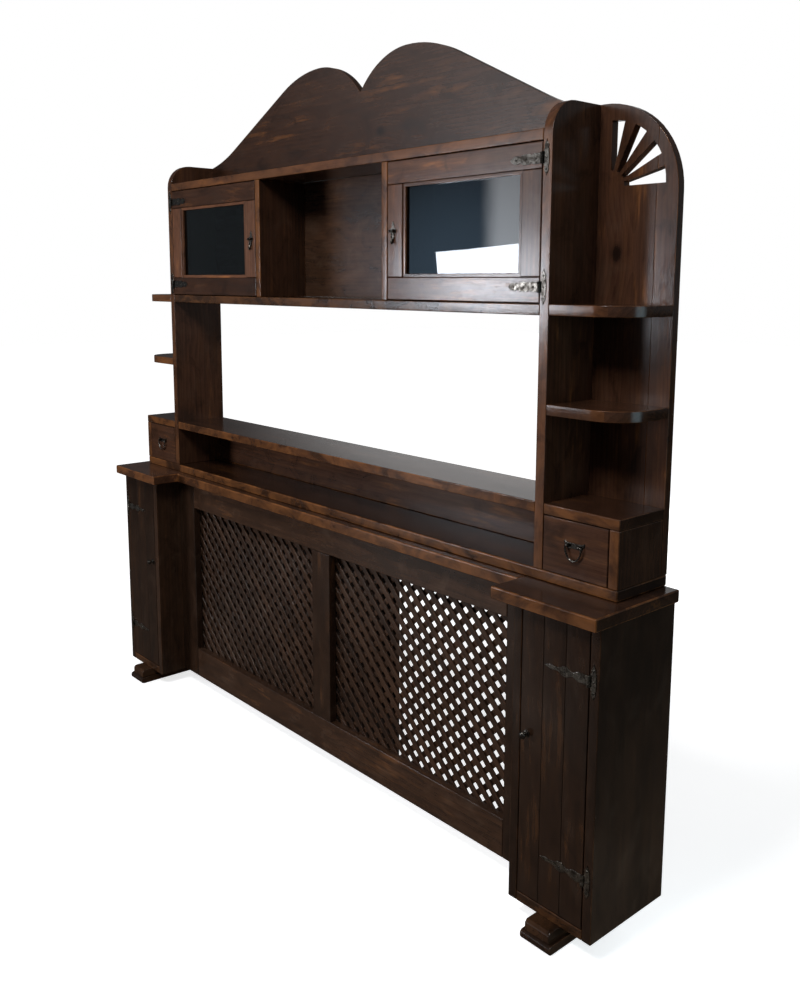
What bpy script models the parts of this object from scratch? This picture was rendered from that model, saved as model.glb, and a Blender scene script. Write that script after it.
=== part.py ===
"""Wall unit in dark stained pine: two pedestal cupboards joined by a lattice front, and a shallow
hutch above with end drawers, corner shelves, glazed doors, pierced corner boards and a crest.

Metres, +Z up. X runs along the wall, the front faces -Y. The origin is on the floor, at the middle
of the unit's width and depth.
"""
from math import acos, asin, atan2, cos, degrees, hypot, pi, radians, sin

import bmesh
import bpy
from mathutils import Euler, Matrix, Vector

# Driving dimensions: base
UNIT_WIDTH = 2.200             # over the outer faces of the pedestals
PEDESTAL_WIDTH = 0.242
PEDESTAL_DEPTH = 0.273
PEDESTAL_HEIGHT = 0.727        # carcass, without foot and top board
PEDESTAL_SIDE = 0.025          # thickness of the side boards
PEDESTAL_BOTTOM = 0.024
PEDESTAL_BACK = 0.012
TOP_THICKNESS = 0.030
TOP_FRONT_OVERHANG = 0.032
TOP_OUTER_OVERHANG = 0.010
TOP_INNER_OVERHANG = 0.045
FOOT_WIDTH = 0.088
FOOT_BASE_HEIGHT = 0.022
FOOT_BLOCK_HEIGHT = 0.026
FOOT_STEP = 0.008              # set-back of the block on its base
FOOT_REACH = 0.045             # how far the foot stands out in front of the pedestal
FOOT_BACK_INSET = 0.010
FOOT_CHAMFER = 0.007
COUNTER_DEPTH = 0.213
FRAME_DEPTH = 0.181            # from the back plane to the front of the lattice frame
FRAME_THICKNESS = 0.025
FRAME_RAISE = 0.006            # bottom rail above the pedestal bottoms
FRAME_STILE = 0.104
FRAME_CENTRE_STILE = 0.087
FRAME_TOP_RAIL = 0.090
FRAME_BOTTOM_RAIL = 0.104
LATH_PITCH = 0.033
LATH_WIDTH = 0.0165
LATH_THICKNESS = 0.006
LATTICE_LAP = 0.016            # lath ends behind the frame
LATTICE_RIM = 0.007            # strip that joins the lath ends of one layer
BAY_BACK_END = 0.158           # where the bay's back board stops, right of the middle
BAY_BACK = 0.010
BAY_BACK_DROP = 0.010          # the back board's lower edge below the pedestal bottoms

# Driving dimensions: hutch
HUTCH_WIDTH = 2.150
HUTCH_DEPTH = 0.187
BASE_BOARD = 0.026
CORNER_WIDTH = 0.211           # corner boards, shelves and drawer cases outside the uprights
UPRIGHT_THICKNESS = 0.026
UPRIGHT_RISE = 0.0637          # uprights above the cabinet top
UPRIGHT_ROUND = 0.075
BOARD = 0.025                  # shelves and cabinet boards
PANEL = 0.022                  # corner boards, fascia and crest
CASE_SIDE = 0.026
CASE_OPENING = 0.132           # height of the drawer opening
CORNER_SHELF_RISE = 0.203      # clear height between the drawer case and the lower corner shelf
CORNER_SHELF_ROUND = 0.090
CABINET_RISE = 0.427           # clear height between the raised shelf and the cabinet
CABINET_OPENING = 0.357        # clear height inside the cabinet
CABINET_BACK = 0.014
CUBBY_WIDTH = 0.579
DIVIDER = 0.023
CREST_RISE = 0.3085            # top of the humps above the cabinet top
CREST_NOTCH = 0.0985           # depth of the notch between the humps
CREST_SHOULDER = 0.637         # from the upright in to the top of the hump
CREST_OUTER_RADIUS = 0.424     # from the top of the hump out to the straight shoulder
CREST_END_RADIUS = 0.550
CREST_END_REACH = 0.076        # past the uprights, where the run-out would come level
CREST_END_DIP = 0.0103         # that level below the tops of the uprights
CORNER_FLAT = 0.011            # level top of the pierced boards, before their round corner
FAN_SIDE_MARGIN = 0.033        # wood on both sides of the fan
FAN_TOP_MARGIN = 0.0385        # wood above the fan
FAN_INNER_RADIUS = 0.037
FAN_RAYS = 4
FAN_RAY_ANGLE = 13.7

# Driving dimensions: doors, drawers and iron
DOOR_GAP = 0.002
PLANK_DOOR = 0.020
PLANK_COUNT = 3
PLANK_GROOVE = 0.0025
LEDGE_HEIGHT = 0.060
LEDGE_THICKNESS = 0.016
LEDGE_INSET = 0.015
GLAZED_DOOR = 0.022
GLAZED_STILE = 0.067
BEAD_WIDTH = 0.009             # sunk flat bead round the pane
BEAD_STEP = 0.003
REBATE_LAP = 0.008
REBATE_FRONT = 0.010           # wood left in front of the pane
PANE = 0.003
PLANK_HINGE_INSET = 0.120
GLAZED_HINGE_INSET = 0.036
PLANK_STRAP = 0.125
GLAZED_STRAP = 0.095
STRAP_HEIGHT = 0.024
# Outlines of the straps as shares of their length from the knuckle and of half their height
PLANK_STRAP_SHAPE = ((0, 0.75), (0.10, 1), (0.24, 0.8), (0.30, 0.4), (0.38, 0.45), (0.46, 1), (0.56, 0.9),
                     (0.63, 0.35), (0.74, 0.3), (0.82, 0.45), (0.90, 0.22))
GLAZED_STRAP_SHAPE = ((0, 1), (0.26, 1), (0.30, 0.6), (0.34, 1), (0.60, 1), (0.66, 0.45), (0.73, 0.8),
                      (0.86, 0.75), (0.95, 0.35))
IRON = 0.0016                  # thickness of straps, leaves and plates
LEAF_HEIGHT = 0.078
LEAF_WIDTH = 0.019
BARREL_RADIUS = 0.0040
BARREL_HEIGHT = 0.026
KNUCKLE_HEIGHT = 0.010
PIN_RADIUS = 0.0016
PIN_CLEARANCE = 0.0001
KNOB_RADIUS = 0.009
KNOB_LENGTH = 0.020
KNOB_INSET = 0.018
KNOB_RISE = 0.048              # knob above the middle of the plank door
DRAWER_GAP = 0.0015
DRAWER_FRONT = 0.018
DRAWER_WALL = 0.010
DRAWER_FLOOR = 0.007
DRAWER_DEPTH_GAP = 0.006
EAR_THICKNESS = 0.004
EAR_REACH = 0.010
EAR_HEIGHT = 0.008
BAIL_WIDTH = 0.045             # between the middles of the bail's two legs
BAIL_DROP = 0.034
BAIL_RISE = 0.010              # the bail's pivots above the middle of the drawer
BAIL_RADIUS = 0.0021
BAIL_BEND = 0.0042             # bend between the bail's leg and its pivot
BAIL_PLATE_WIDTH = 0.058       # winged plate behind the bail's pivots
BAIL_PLATE_HEIGHT = 0.016
PULL_INSET = 0.023             # drop pull from the free edge of the glazed door
DROP_LENGTH = 0.034
DROP_RADIUS = 0.0045
DROP_BAR_RADIUS = 0.0016
DROP_PLATE_HEIGHT = 0.046
DROP_PLATE_WIDTH = 0.020

# Fits and edges
FIT = 0.0003                   # gap between pieces that touch
EDGE = 0.0020                  # eased arrises of the boards
EMBED = 0.0006                 # how far iron is let into the wood that carries it
ROUND_STEPS = 16
WIRE_STEPS = 14
PIN_SIDES = 16

# Levels and places that follow from them
OVERALL_DEPTH = PEDESTAL_DEPTH + max(FOOT_REACH, TOP_FRONT_OVERHANG)
PEDESTAL_OUT = UNIT_WIDTH / 2
PEDESTAL_IN = PEDESTAL_OUT - PEDESTAL_WIDTH
FOOT_TOP = FOOT_BASE_HEIGHT + FOOT_BLOCK_HEIGHT
CARCASS_Z = FOOT_TOP + FIT
CARCASS_TOP = CARCASS_Z + PEDESTAL_HEIGHT
TOP_Z = CARCASS_TOP + FIT
BASE_Z = TOP_Z + TOP_THICKNESS + FIT
HUTCH_Z = BASE_Z + BASE_BOARD + FIT
SHELF_Z = HUTCH_Z + CASE_OPENING
SHELF_TOP = SHELF_Z + BOARD
CABINET_Z = SHELF_TOP + CABINET_RISE
CABINET_FLOOR = CABINET_Z + BOARD
CABINET_TOP_Z = CABINET_FLOOR + CABINET_OPENING
CREST_Z = CABINET_TOP_Z + BOARD + FIT
CORNER_SHELF_Z = SHELF_TOP + CORNER_SHELF_RISE
UPRIGHT_HEIGHT = CREST_Z + UPRIGHT_RISE - HUTCH_Z
HUTCH_OUT = HUTCH_WIDTH / 2
UPRIGHT_OUT = HUTCH_OUT - CORNER_WIDTH
UPRIGHT_IN = UPRIGHT_OUT - UPRIGHT_THICKNESS
FAN_OUTER_RADIUS = CORNER_WIDTH - 2 * FAN_SIDE_MARGIN
DIVIDER_OUT = CUBBY_WIDTH / 2 + DIVIDER
SIDES = {"left": -1, "right": 1}


def clear_scene():
    for item in list(bpy.data.objects):
        bpy.data.objects.remove(item, do_unlink=True)


def new_collection(name):
    collection = bpy.data.collections.new(name)
    bpy.context.scene.collection.children.link(collection)
    return collection


def new_material(name, colour, roughness, metallic=0.0, alpha=1.0):
    material = bpy.data.materials.new(name)
    material.use_nodes = True
    shader = material.node_tree.nodes["Principled BSDF"]
    shader.inputs["Base Color"].default_value = (*colour, 1.0)
    shader.inputs["Roughness"].default_value = roughness
    shader.inputs["Metallic"].default_value = metallic
    shader.inputs["Alpha"].default_value = alpha
    return material


clear_scene()
PARTS = new_collection("wall_unit")
GUIDES = new_collection("cutters")
PINE = new_material("stained_pine", (0.052, 0.022, 0.012), 0.45)
LATH = new_material("lath_pine", (0.075, 0.032, 0.018), 0.55)
GLASS = new_material("window_glass", (0.62, 0.70, 0.70), 0.03, alpha=0.35)
WROUGHT = new_material("blackened_iron", (0.045, 0.043, 0.042), 0.40, metallic=1.0)

# The boards are laid out from the back plane, so one empty brings the middle of the depth to Y = 0
UNIT = bpy.data.objects.new("unit", None)
UNIT.location = (0, OVERALL_DEPTH / 2, 0)
PARTS.objects.link(UNIT)


def arc(centre, radius, start, end, steps):
    """Points on a circle from one angle to another, in degrees, both ends included."""
    turns = [radians(start + (end - start) * i / steps) for i in range(steps + 1)]
    return [(centre[0] + radius * cos(turn), centre[1] + radius * sin(turn)) for turn in turns]


def across(loop):
    """The loop mirrored in its first coordinate, in the opposite order."""
    return [(-u, v) for u, v in reversed(loop)]


def add_object(name, mesh, material, location):
    item = bpy.data.objects.new(name, mesh)
    item.location = location
    item.parent = UNIT
    mesh.materials.append(material)
    PARTS.objects.link(item)
    return item


def mesh_from(shape, name):
    mesh = bpy.data.meshes.new(name)
    shape.to_mesh(mesh)
    shape.free()
    return mesh


def ease_edges(item, width=EDGE):
    bevel = item.modifiers.new("eased arrises", "BEVEL")
    bevel.width = width
    bevel.segments = 1
    bevel.limit_method = "ANGLE"
    bevel.angle_limit = radians(40)


def board(name, x, y, z, material=PINE, side=1, edge=EDGE):
    """A straight board between two corners; side -1 mirrors it to the left half."""
    if side < 0:
        x = (-x[1], -x[0])
    spans = (x, y, z)
    size = [high - low for low, high in spans]
    shape = bmesh.new()
    bmesh.ops.create_cube(shape, size=1, matrix=Matrix.Diagonal((*size, 1)))
    centre = [(low + high) / 2 for low, high in spans]
    item = add_object(name, mesh_from(shape, name), material, centre)
    if edge:
        ease_edges(item, edge)
    return item


def rod(name, centre, axis, length, radius, material=WROUGHT, sides=PIN_SIDES):
    """A closed cylinder along an axis."""
    turn = Vector((0, 0, 1)).rotation_difference(Vector(axis)).to_matrix().to_4x4()
    shape = bmesh.new()
    bmesh.ops.create_cone(shape, cap_ends=True, segments=sides, radius1=radius, radius2=radius,
                          depth=length, matrix=turn)
    return add_object(name, mesh_from(shape, name), material, centre)


def weld(curve, name, turn=Matrix()):
    """A curve's evaluated mesh, with its loose caps joined and turned into place."""
    carrier = bpy.data.objects.new(name, curve)
    PARTS.objects.link(carrier)
    evaluated = carrier.evaluated_get(bpy.context.evaluated_depsgraph_get())
    mesh = bpy.data.meshes.new_from_object(evaluated)
    bpy.data.objects.remove(carrier, do_unlink=True)
    bpy.data.curves.remove(curve)
    shape = bmesh.new()
    shape.from_mesh(mesh)
    bpy.data.meshes.remove(mesh)
    bmesh.ops.remove_doubles(shape, verts=shape.verts, dist=0.00001)
    bmesh.ops.recalc_face_normals(shape, faces=shape.faces)
    shape.transform(turn)
    return mesh_from(shape, name)


PLANES = {
    "XY": Euler((0, 0, 0)),
    "XZ": Euler((pi / 2, 0, 0)),
    "YZ": Euler((pi / 2, 0, pi / 2)),
}


def plate(name, loops, thickness, plane, location, material=PINE, side=1):
    """A flat outline of given thickness; the first loop is the edge, the others are holes."""
    curve = bpy.data.curves.new(name, "CURVE")
    curve.dimensions = "2D"
    curve.fill_mode = "BOTH"
    curve.extrude = thickness / 2
    for loop in loops:
        spline = curve.splines.new("POLY")
        spline.points.add(len(loop) - 1)
        for point, (u, v) in zip(spline.points, loop):
            point.co = (u * side, v, 0, 1)
        spline.use_cyclic_u = True
    turn = PLANES[plane].to_matrix().to_4x4()
    return add_object(name, weld(curve, name, turn), material, location)


def turned(name, profile, location, material=WROUGHT, turn=(0, 0, 0), steps=ROUND_STEPS):
    """A profile of (radius, height), from its top down, spun about its own axis."""
    shape = bmesh.new()
    points = [shape.verts.new((radius, 0, height)) for radius, height in profile]
    for one, two in zip(points, points[1:]):
        shape.edges.new((one, two))
    item = add_object(name, mesh_from(shape, name), material, location)
    item.rotation_euler = turn
    screw = item.modifiers.new("turning", "SCREW")
    screw.steps = steps
    screw.render_steps = steps
    screw.use_merge_vertices = True
    screw.merge_threshold = 0.00001
    return item


def combine(item, other, operation):
    """A Boolean with another solid, which is kept as a hidden guide."""
    boolean = item.modifiers.new(other.name, "BOOLEAN")
    boolean.operation = operation
    boolean.object = other
    PARTS.objects.unlink(other)
    GUIDES.objects.link(other)
    other.hide_render = True
    other.display_type = "WIRE"


def hang(item, point):
    """Moves a piece's origin to a point on its joint's axis."""
    shift = Vector(item.location) - Vector(point)
    item.data.transform(Matrix.Translation(shift))
    item.location = point


def ride(item, carrier):
    """Parents a piece to the one that carries it, where it stands."""
    item.parent = carrier
    item.location = Vector(item.location) - carrier.location


# Base


def foot(where, side):
    """A runner of two tiers: a round-nosed base and a chamfered block on it."""
    front = -PEDESTAL_DEPTH - FOOT_REACH
    middle = side * (PEDESTAL_OUT + PEDESTAL_IN) / 2
    nose = FOOT_BASE_HEIGHT / 2
    base = arc((front + nose, nose), nose, 90, 270, 8)
    base += [(-FOOT_BACK_INSET, 0), (-FOOT_BACK_INSET, FOOT_BASE_HEIGHT)]
    item = plate("foot_" + where, [base], FOOT_WIDTH, "YZ", (middle, 0, 0))
    block_front = front + FOOT_STEP
    block_back = -FOOT_BACK_INSET - FOOT_STEP
    seat = FOOT_BASE_HEIGHT / 2
    block = [(block_front, seat), (block_back, seat), (block_back, FOOT_TOP),
             (block_front + FOOT_CHAMFER, FOOT_TOP), (block_front, FOOT_TOP - FOOT_CHAMFER)]
    width = FOOT_WIDTH - 2 * FOOT_STEP
    combine(item, plate("foot_block_" + where, [block], width, "YZ", (middle, 0, 0)), "UNION")


def pedestal(where, side):
    name = "pedestal_" + where + "_"
    depth = (-PEDESTAL_DEPTH, 0)
    height = (CARCASS_Z, CARCASS_TOP)
    board(name + "outer_side", (PEDESTAL_OUT - PEDESTAL_SIDE, PEDESTAL_OUT), depth, height, side=side)
    board(name + "inner_side", (PEDESTAL_IN, PEDESTAL_IN + PEDESTAL_SIDE), depth, height, side=side)
    inside = (PEDESTAL_IN + PEDESTAL_SIDE + FIT, PEDESTAL_OUT - PEDESTAL_SIDE - FIT)
    board(name + "bottom", inside, (-PEDESTAL_DEPTH, -PEDESTAL_BACK - FIT),
          (CARCASS_Z, CARCASS_Z + PEDESTAL_BOTTOM), side=side)
    board(name + "back", inside, (-PEDESTAL_BACK, 0), height, side=side)
    board(name + "top", (PEDESTAL_IN - TOP_INNER_OVERHANG, PEDESTAL_OUT + TOP_OUTER_OVERHANG),
          (-PEDESTAL_DEPTH - TOP_FRONT_OVERHANG, 0), (TOP_Z, TOP_Z + TOP_THICKNESS), side=side)


def counter():
    half = PEDESTAL_IN - TOP_INNER_OVERHANG - FIT
    board("centre_top", (-half, half), (-COUNTER_DEPTH, 0), (TOP_Z, TOP_Z + TOP_THICKNESS))


def rectangle(u, v):
    return [(u[0], v[0]), (u[1], v[0]), (u[1], v[1]), (u[0], v[1])]


def lattice_bay(side):
    """The clear opening of one bay of the lattice frame, as its X and Z spans."""
    x = (FRAME_CENTRE_STILE / 2, PEDESTAL_IN - FRAME_STILE)
    if side < 0:
        x = (-x[1], -x[0])
    z = (CARCASS_Z + FRAME_RAISE + FRAME_BOTTOM_RAIL, CARCASS_TOP - FRAME_TOP_RAIL)
    return x, z


def lattice_frame():
    half = PEDESTAL_IN - FIT
    outer = rectangle((-half, half), (CARCASS_Z + FRAME_RAISE, CARCASS_TOP))
    bays = [rectangle(*lattice_bay(side)) for side in SIDES.values()]
    middle = -FRAME_DEPTH + FRAME_THICKNESS / 2
    frame = plate("lattice_frame", [outer, *bays], FRAME_THICKNESS, "XZ", (0, middle, 0))
    ease_edges(frame)


def clip(loop, normal, limit):
    """The part of a convex loop on the near side of the line normal . point = limit."""
    kept = []
    for one, two in zip(loop, loop[1:] + loop[:1]):
        high_one = one[0] * normal[0] + one[1] * normal[1] - limit
        high_two = two[0] * normal[0] + two[1] * normal[1] - limit
        if high_one <= 0:
            kept.append(one)
        if high_one * high_two < 0:
            share = high_one / (high_one - high_two)
            kept.append((one[0] + share * (two[0] - one[0]), one[1] + share * (two[1] - one[1])))
    return kept


def area(loop):
    pairs = zip(loop, loop[1:] + loop[:1])
    return abs(sum(one[0] * two[1] - two[0] * one[1] for one, two in pairs)) / 2


def lath_layer(name, half_width, half_height, slope, location):
    """Parallel laths at 45 degrees, joined at their ends by a rim that the frame hides."""
    outer = rectangle((-half_width, half_width), (-half_height, half_height))
    inner = rectangle((LATTICE_RIM - half_width, half_width - LATTICE_RIM),
                      (LATTICE_RIM - half_height, half_height - LATTICE_RIM))
    normal = (cos(pi / 4), slope * sin(pi / 4))
    back = (-normal[0], -normal[1])
    gap = LATH_PITCH - LATH_WIDTH
    reach = (half_width + half_height) * cos(pi / 4)
    count = int(reach / LATH_PITCH) + 1
    slots = []
    for index in range(-count, count + 1):
        middle = index * LATH_PITCH
        slot = clip(inner, normal, middle + gap / 2)
        slot = clip(slot, back, gap / 2 - middle)
        if len(slot) > 2 and area(slot) > gap * gap / 4:
            slots.append(slot)
    plate(name, [outer, *slots], LATH_THICKNESS, "XZ", location, LATH)


def lattice_panel(where, side):
    """Two layers of crossed laths fixed behind the frame."""
    x, z = lattice_bay(side)
    half_width = (x[1] - x[0]) / 2 + LATTICE_LAP
    half_height = (z[1] - z[0]) / 2 + LATTICE_LAP
    behind = -FRAME_DEPTH + FRAME_THICKNESS + FIT + LATH_THICKNESS / 2
    centre_x = (x[0] + x[1]) / 2
    centre_z = (z[0] + z[1]) / 2
    lath_layer("lattice_" + where + "_front_laths", half_width, half_height, 1,
               (centre_x, behind, centre_z))
    lath_layer("lattice_" + where + "_back_laths", half_width, half_height, -1,
               (centre_x, behind + LATH_THICKNESS + FIT, centre_z))


def bay_back():
    board("bay_back_board", (FIT - PEDESTAL_IN, BAY_BACK_END), (-BAY_BACK, 0),
          (CARCASS_Z - BAY_BACK_DROP, CARCASS_TOP))


# Hutch


def upright(where, side):
    round_y = UPRIGHT_ROUND - HUTCH_DEPTH
    outline = [(0, 0), (0, UPRIGHT_HEIGHT)]
    outline += arc((round_y, UPRIGHT_HEIGHT - UPRIGHT_ROUND), UPRIGHT_ROUND, 90, 180, ROUND_STEPS // 2)
    outline += [(-HUTCH_DEPTH, 0)]
    middle = side * (UPRIGHT_IN + UPRIGHT_OUT) / 2
    item = plate("upright_" + where, [outline], UPRIGHT_THICKNESS, "YZ", (middle, 0, HUTCH_Z))
    ease_edges(item)


def fan_rays():
    """Wedge cut-outs that fan out over a quarter turn."""
    centre = (FAN_SIDE_MARGIN, UPRIGHT_HEIGHT - FAN_TOP_MARGIN - FAN_OUTER_RADIUS)
    pitch = (90 - FAN_RAY_ANGLE) / (FAN_RAYS - 1)
    rays = []
    for index in range(FAN_RAYS):
        start = index * pitch
        inner = arc(centre, FAN_INNER_RADIUS, start + FAN_RAY_ANGLE, start, 1)
        rays.append(arc(centre, FAN_OUTER_RADIUS, start, start + FAN_RAY_ANGLE, 2) + inner)
    return rays


def corner_board(where, side):
    """The pierced board behind the corner shelves, round at its outer top corner."""
    radius = CORNER_WIDTH - CORNER_FLAT
    round_at = (CORNER_FLAT, UPRIGHT_HEIGHT - radius)
    outline = [(FIT, 0), (CORNER_WIDTH, 0)] + arc(round_at, radius, 0, 90, ROUND_STEPS)
    outline += [(FIT, UPRIGHT_HEIGHT)]
    plate("corner_board_" + where, [outline, *fan_rays()], PANEL, "XZ",
          (side * UPRIGHT_OUT, -PANEL / 2, HUTCH_Z), side=side)


def corner_shelf(name, side, z):
    round_at = (CORNER_WIDTH - CORNER_SHELF_ROUND, CORNER_SHELF_ROUND - HUTCH_DEPTH)
    outline = [(FIT, -PANEL - FIT), (FIT, -HUTCH_DEPTH)]
    outline += arc(round_at, CORNER_SHELF_ROUND, 270, 360, ROUND_STEPS // 2)
    outline += [(CORNER_WIDTH, -PANEL - FIT)]
    item = plate(name, [outline], BOARD, "XY", (side * UPRIGHT_OUT, 0, z + BOARD / 2), side=side)
    ease_edges(item)


def drawer_case(where, side):
    depth = (-HUTCH_DEPTH, -PANEL - FIT)
    board("drawer_case_" + where + "_side", (HUTCH_OUT - CASE_SIDE, HUTCH_OUT), depth,
          (HUTCH_Z, SHELF_Z - FIT), side=side)
    board("drawer_case_" + where + "_top", (UPRIGHT_OUT + FIT, HUTCH_OUT), depth,
          (SHELF_Z, SHELF_TOP), side=side)


def hutch_boards():
    between = (FIT - UPRIGHT_IN, UPRIGHT_IN - FIT)
    depth = (-HUTCH_DEPTH, 0)
    board("hutch_base_board", (-HUTCH_OUT, HUTCH_OUT), depth, (BASE_Z, BASE_Z + BASE_BOARD))
    board("raised_shelf", between, depth, (SHELF_Z, SHELF_TOP))
    board("shelf_fascia", between, (-PANEL, 0), (HUTCH_Z, SHELF_Z - FIT))
    board("cabinet_bottom", between, depth, (CABINET_Z, CABINET_FLOOR))
    board("cabinet_top", between, depth, (CABINET_TOP_Z, CABINET_TOP_Z + BOARD))
    inside = (CABINET_FLOOR + FIT, CABINET_TOP_Z - FIT)
    board("cabinet_back", between, (-CABINET_BACK, 0), inside)
    for where, side in SIDES.items():
        board("cabinet_divider_" + where, (CUBBY_WIDTH / 2, DIVIDER_OUT),
              (-HUTCH_DEPTH, -CABINET_BACK - FIT), inside, side=side)


def crest():
    """Two round humps meet in a notch, and their shoulders run out to the uprights' tops."""
    hump = UPRIGHT_IN - CREST_SHOULDER
    inner_radius = (hump ** 2 + CREST_NOTCH ** 2) / (2 * CREST_NOTCH)
    inner = (hump, CREST_RISE - inner_radius)
    outer = (hump, CREST_RISE - CREST_OUTER_RADIUS)
    end = (UPRIGHT_OUT + CREST_END_REACH, UPRIGHT_RISE - CREST_END_DIP + CREST_END_RADIUS)
    run = (end[0] - outer[0], end[1] - outer[1])
    # The straight shoulder is the line that touches both circles, from one side to the other
    lean = asin((CREST_OUTER_RADIUS + CREST_END_RADIUS) / hypot(*run))
    slope = degrees(atan2(run[1], run[0]) - lean)
    notch = degrees(acos(-hump / inner_radius))
    stop = UPRIGHT_IN - FIT
    cut = 270 - degrees(asin((end[0] - stop) / CREST_END_RADIUS))
    half = arc(inner, inner_radius, notch, 90, ROUND_STEPS)
    half += arc(outer, CREST_OUTER_RADIUS, 90, 90 + slope, ROUND_STEPS // 2)[1:]
    half += arc(end, CREST_END_RADIUS, 270 + slope, cut, ROUND_STEPS // 3)
    half += [(stop, 0)]
    item = plate("crest", [across(half) + half[1:]], PANEL, "XZ", (0, -PANEL / 2, CREST_Z))
    ease_edges(item)


# Iron fittings


def leaf_outline():
    """Spear-ended leaf: tongues reach in to the two outer knuckles, u runs out from the pin."""
    inner = BARREL_RADIUS
    middle = (inner + LEAF_WIDTH) / 2
    half = LEAF_HEIGHT / 2
    tongue = (KNUCKLE_HEIGHT / 2 + 3 * FIT, BARREL_HEIGHT / 2 - FIT)
    body = BARREL_HEIGHT / 2 + LEAF_WIDTH / 4
    waist = LEAF_WIDTH / 5
    inside = [(inner, tongue[0]), (0, tongue[0]), (0, tongue[1]), (inner, tongue[1]), (inner, body),
              (middle - waist, body + waist), (inner, body + 2 * waist)]
    outside = [(LEAF_WIDTH, body + 2 * waist), (middle + waist, body + waist), (LEAF_WIDTH, body)]
    upper = inside + [(middle, half)] + outside
    return upper + [(u, -v) for u, v in reversed(upper)]


def strap_outline(length, shape):
    """Strap with lobes, necks and a pointed tip; u runs from the pin along the door."""
    neck = KNUCKLE_HEIGHT / 2 - 2 * FIT
    start = BARREL_RADIUS + 4 * FIT
    lobes = [(start + share * (length - start), height * STRAP_HEIGHT / 2) for share, height in shape]
    upper = [(0, neck), (start, neck)] + lobes
    return upper + [(length, 0)] + [(u, -v) for u, v in reversed(upper)]


def hinge_leaf(name, side, axis, front):
    """The fixed half of a hinge: leaf on the carcass, outer knuckles and the pin."""
    middle = front - FIT - IRON / 2
    item = plate(name, [leaf_outline()], IRON, "XZ", (axis[0], middle, axis[2]), WROUGHT, side)
    knuckle = (BARREL_HEIGHT - KNUCKLE_HEIGHT) / 2 - FIT
    for end in (-1, 1):
        centre = (axis[0], axis[1], axis[2] + end * (BARREL_HEIGHT - knuckle) / 2)
        combine(item, rod(name + "_knuckle", centre, (0, 0, 1), knuckle, BARREL_RADIUS), "UNION")
    combine(item, rod(name + "_pin", axis, (0, 0, 1), BARREL_HEIGHT - 2 * FIT, PIN_RADIUS), "UNION")


def hinge_strap(door, side, axis, front, outline):
    """The moving half, let into the door: strap and the middle knuckle round the pin."""
    thick = IRON + EMBED
    middle = front - IRON + thick / 2
    strap = plate(door.name + "_strap", [outline], thick, "XZ",
                  (axis[0], middle, axis[2]), WROUGHT, -side)
    combine(door, strap, "UNION")
    combine(door, rod(door.name + "_knuckle", axis, (0, 0, 1), KNUCKLE_HEIGHT, BARREL_RADIUS), "UNION")
    bore = rod(door.name + "_bore", axis, (0, 0, 1), BARREL_HEIGHT, PIN_RADIUS + PIN_CLEARANCE)
    combine(door, bore, "DIFFERENCE")


def hang_door(door, where, side, edge_x, front, levels, strap, name):
    """Fits both hinges at a door's outer edge and puts its origin on their pins."""
    pin_x = side * (edge_x - DOOR_GAP / 2)
    pin_y = front - BARREL_RADIUS - FIT
    for level, z in levels.items():
        axis = (pin_x, pin_y, z)
        hinge_leaf("hinge_" + name + "_" + where + "_" + level, side, axis, front)
        hinge_strap(door, side, axis, front, strap)
    hang(door, (pin_x, pin_y, door.location.z))


def pull_ears(item, centre, spacing, front, pin_radius):
    """Two bored ears that carry the bar of a bail or drop pull."""
    for end in (-1, 1):
        x = centre[0] + end * spacing / 2
        ear = board(item.name + "_ear", (x - EAR_THICKNESS / 2, x + EAR_THICKNESS / 2),
                    (front - EAR_REACH, front + EMBED),
                    (centre[1] - EAR_HEIGHT / 2, centre[1] + EAR_HEIGHT / 2), WROUGHT, edge=0)
        combine(item, ear, "UNION")
    bar = (centre[0], front - EAR_REACH + EAR_HEIGHT / 2, centre[1])
    bore = rod(item.name + "_ear_bore", bar, (1, 0, 0), spacing + 4 * EAR_THICKNESS,
               pin_radius + PIN_CLEARANCE)
    combine(item, bore, "DIFFERENCE")
    return bar


# Doors and drawers


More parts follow.
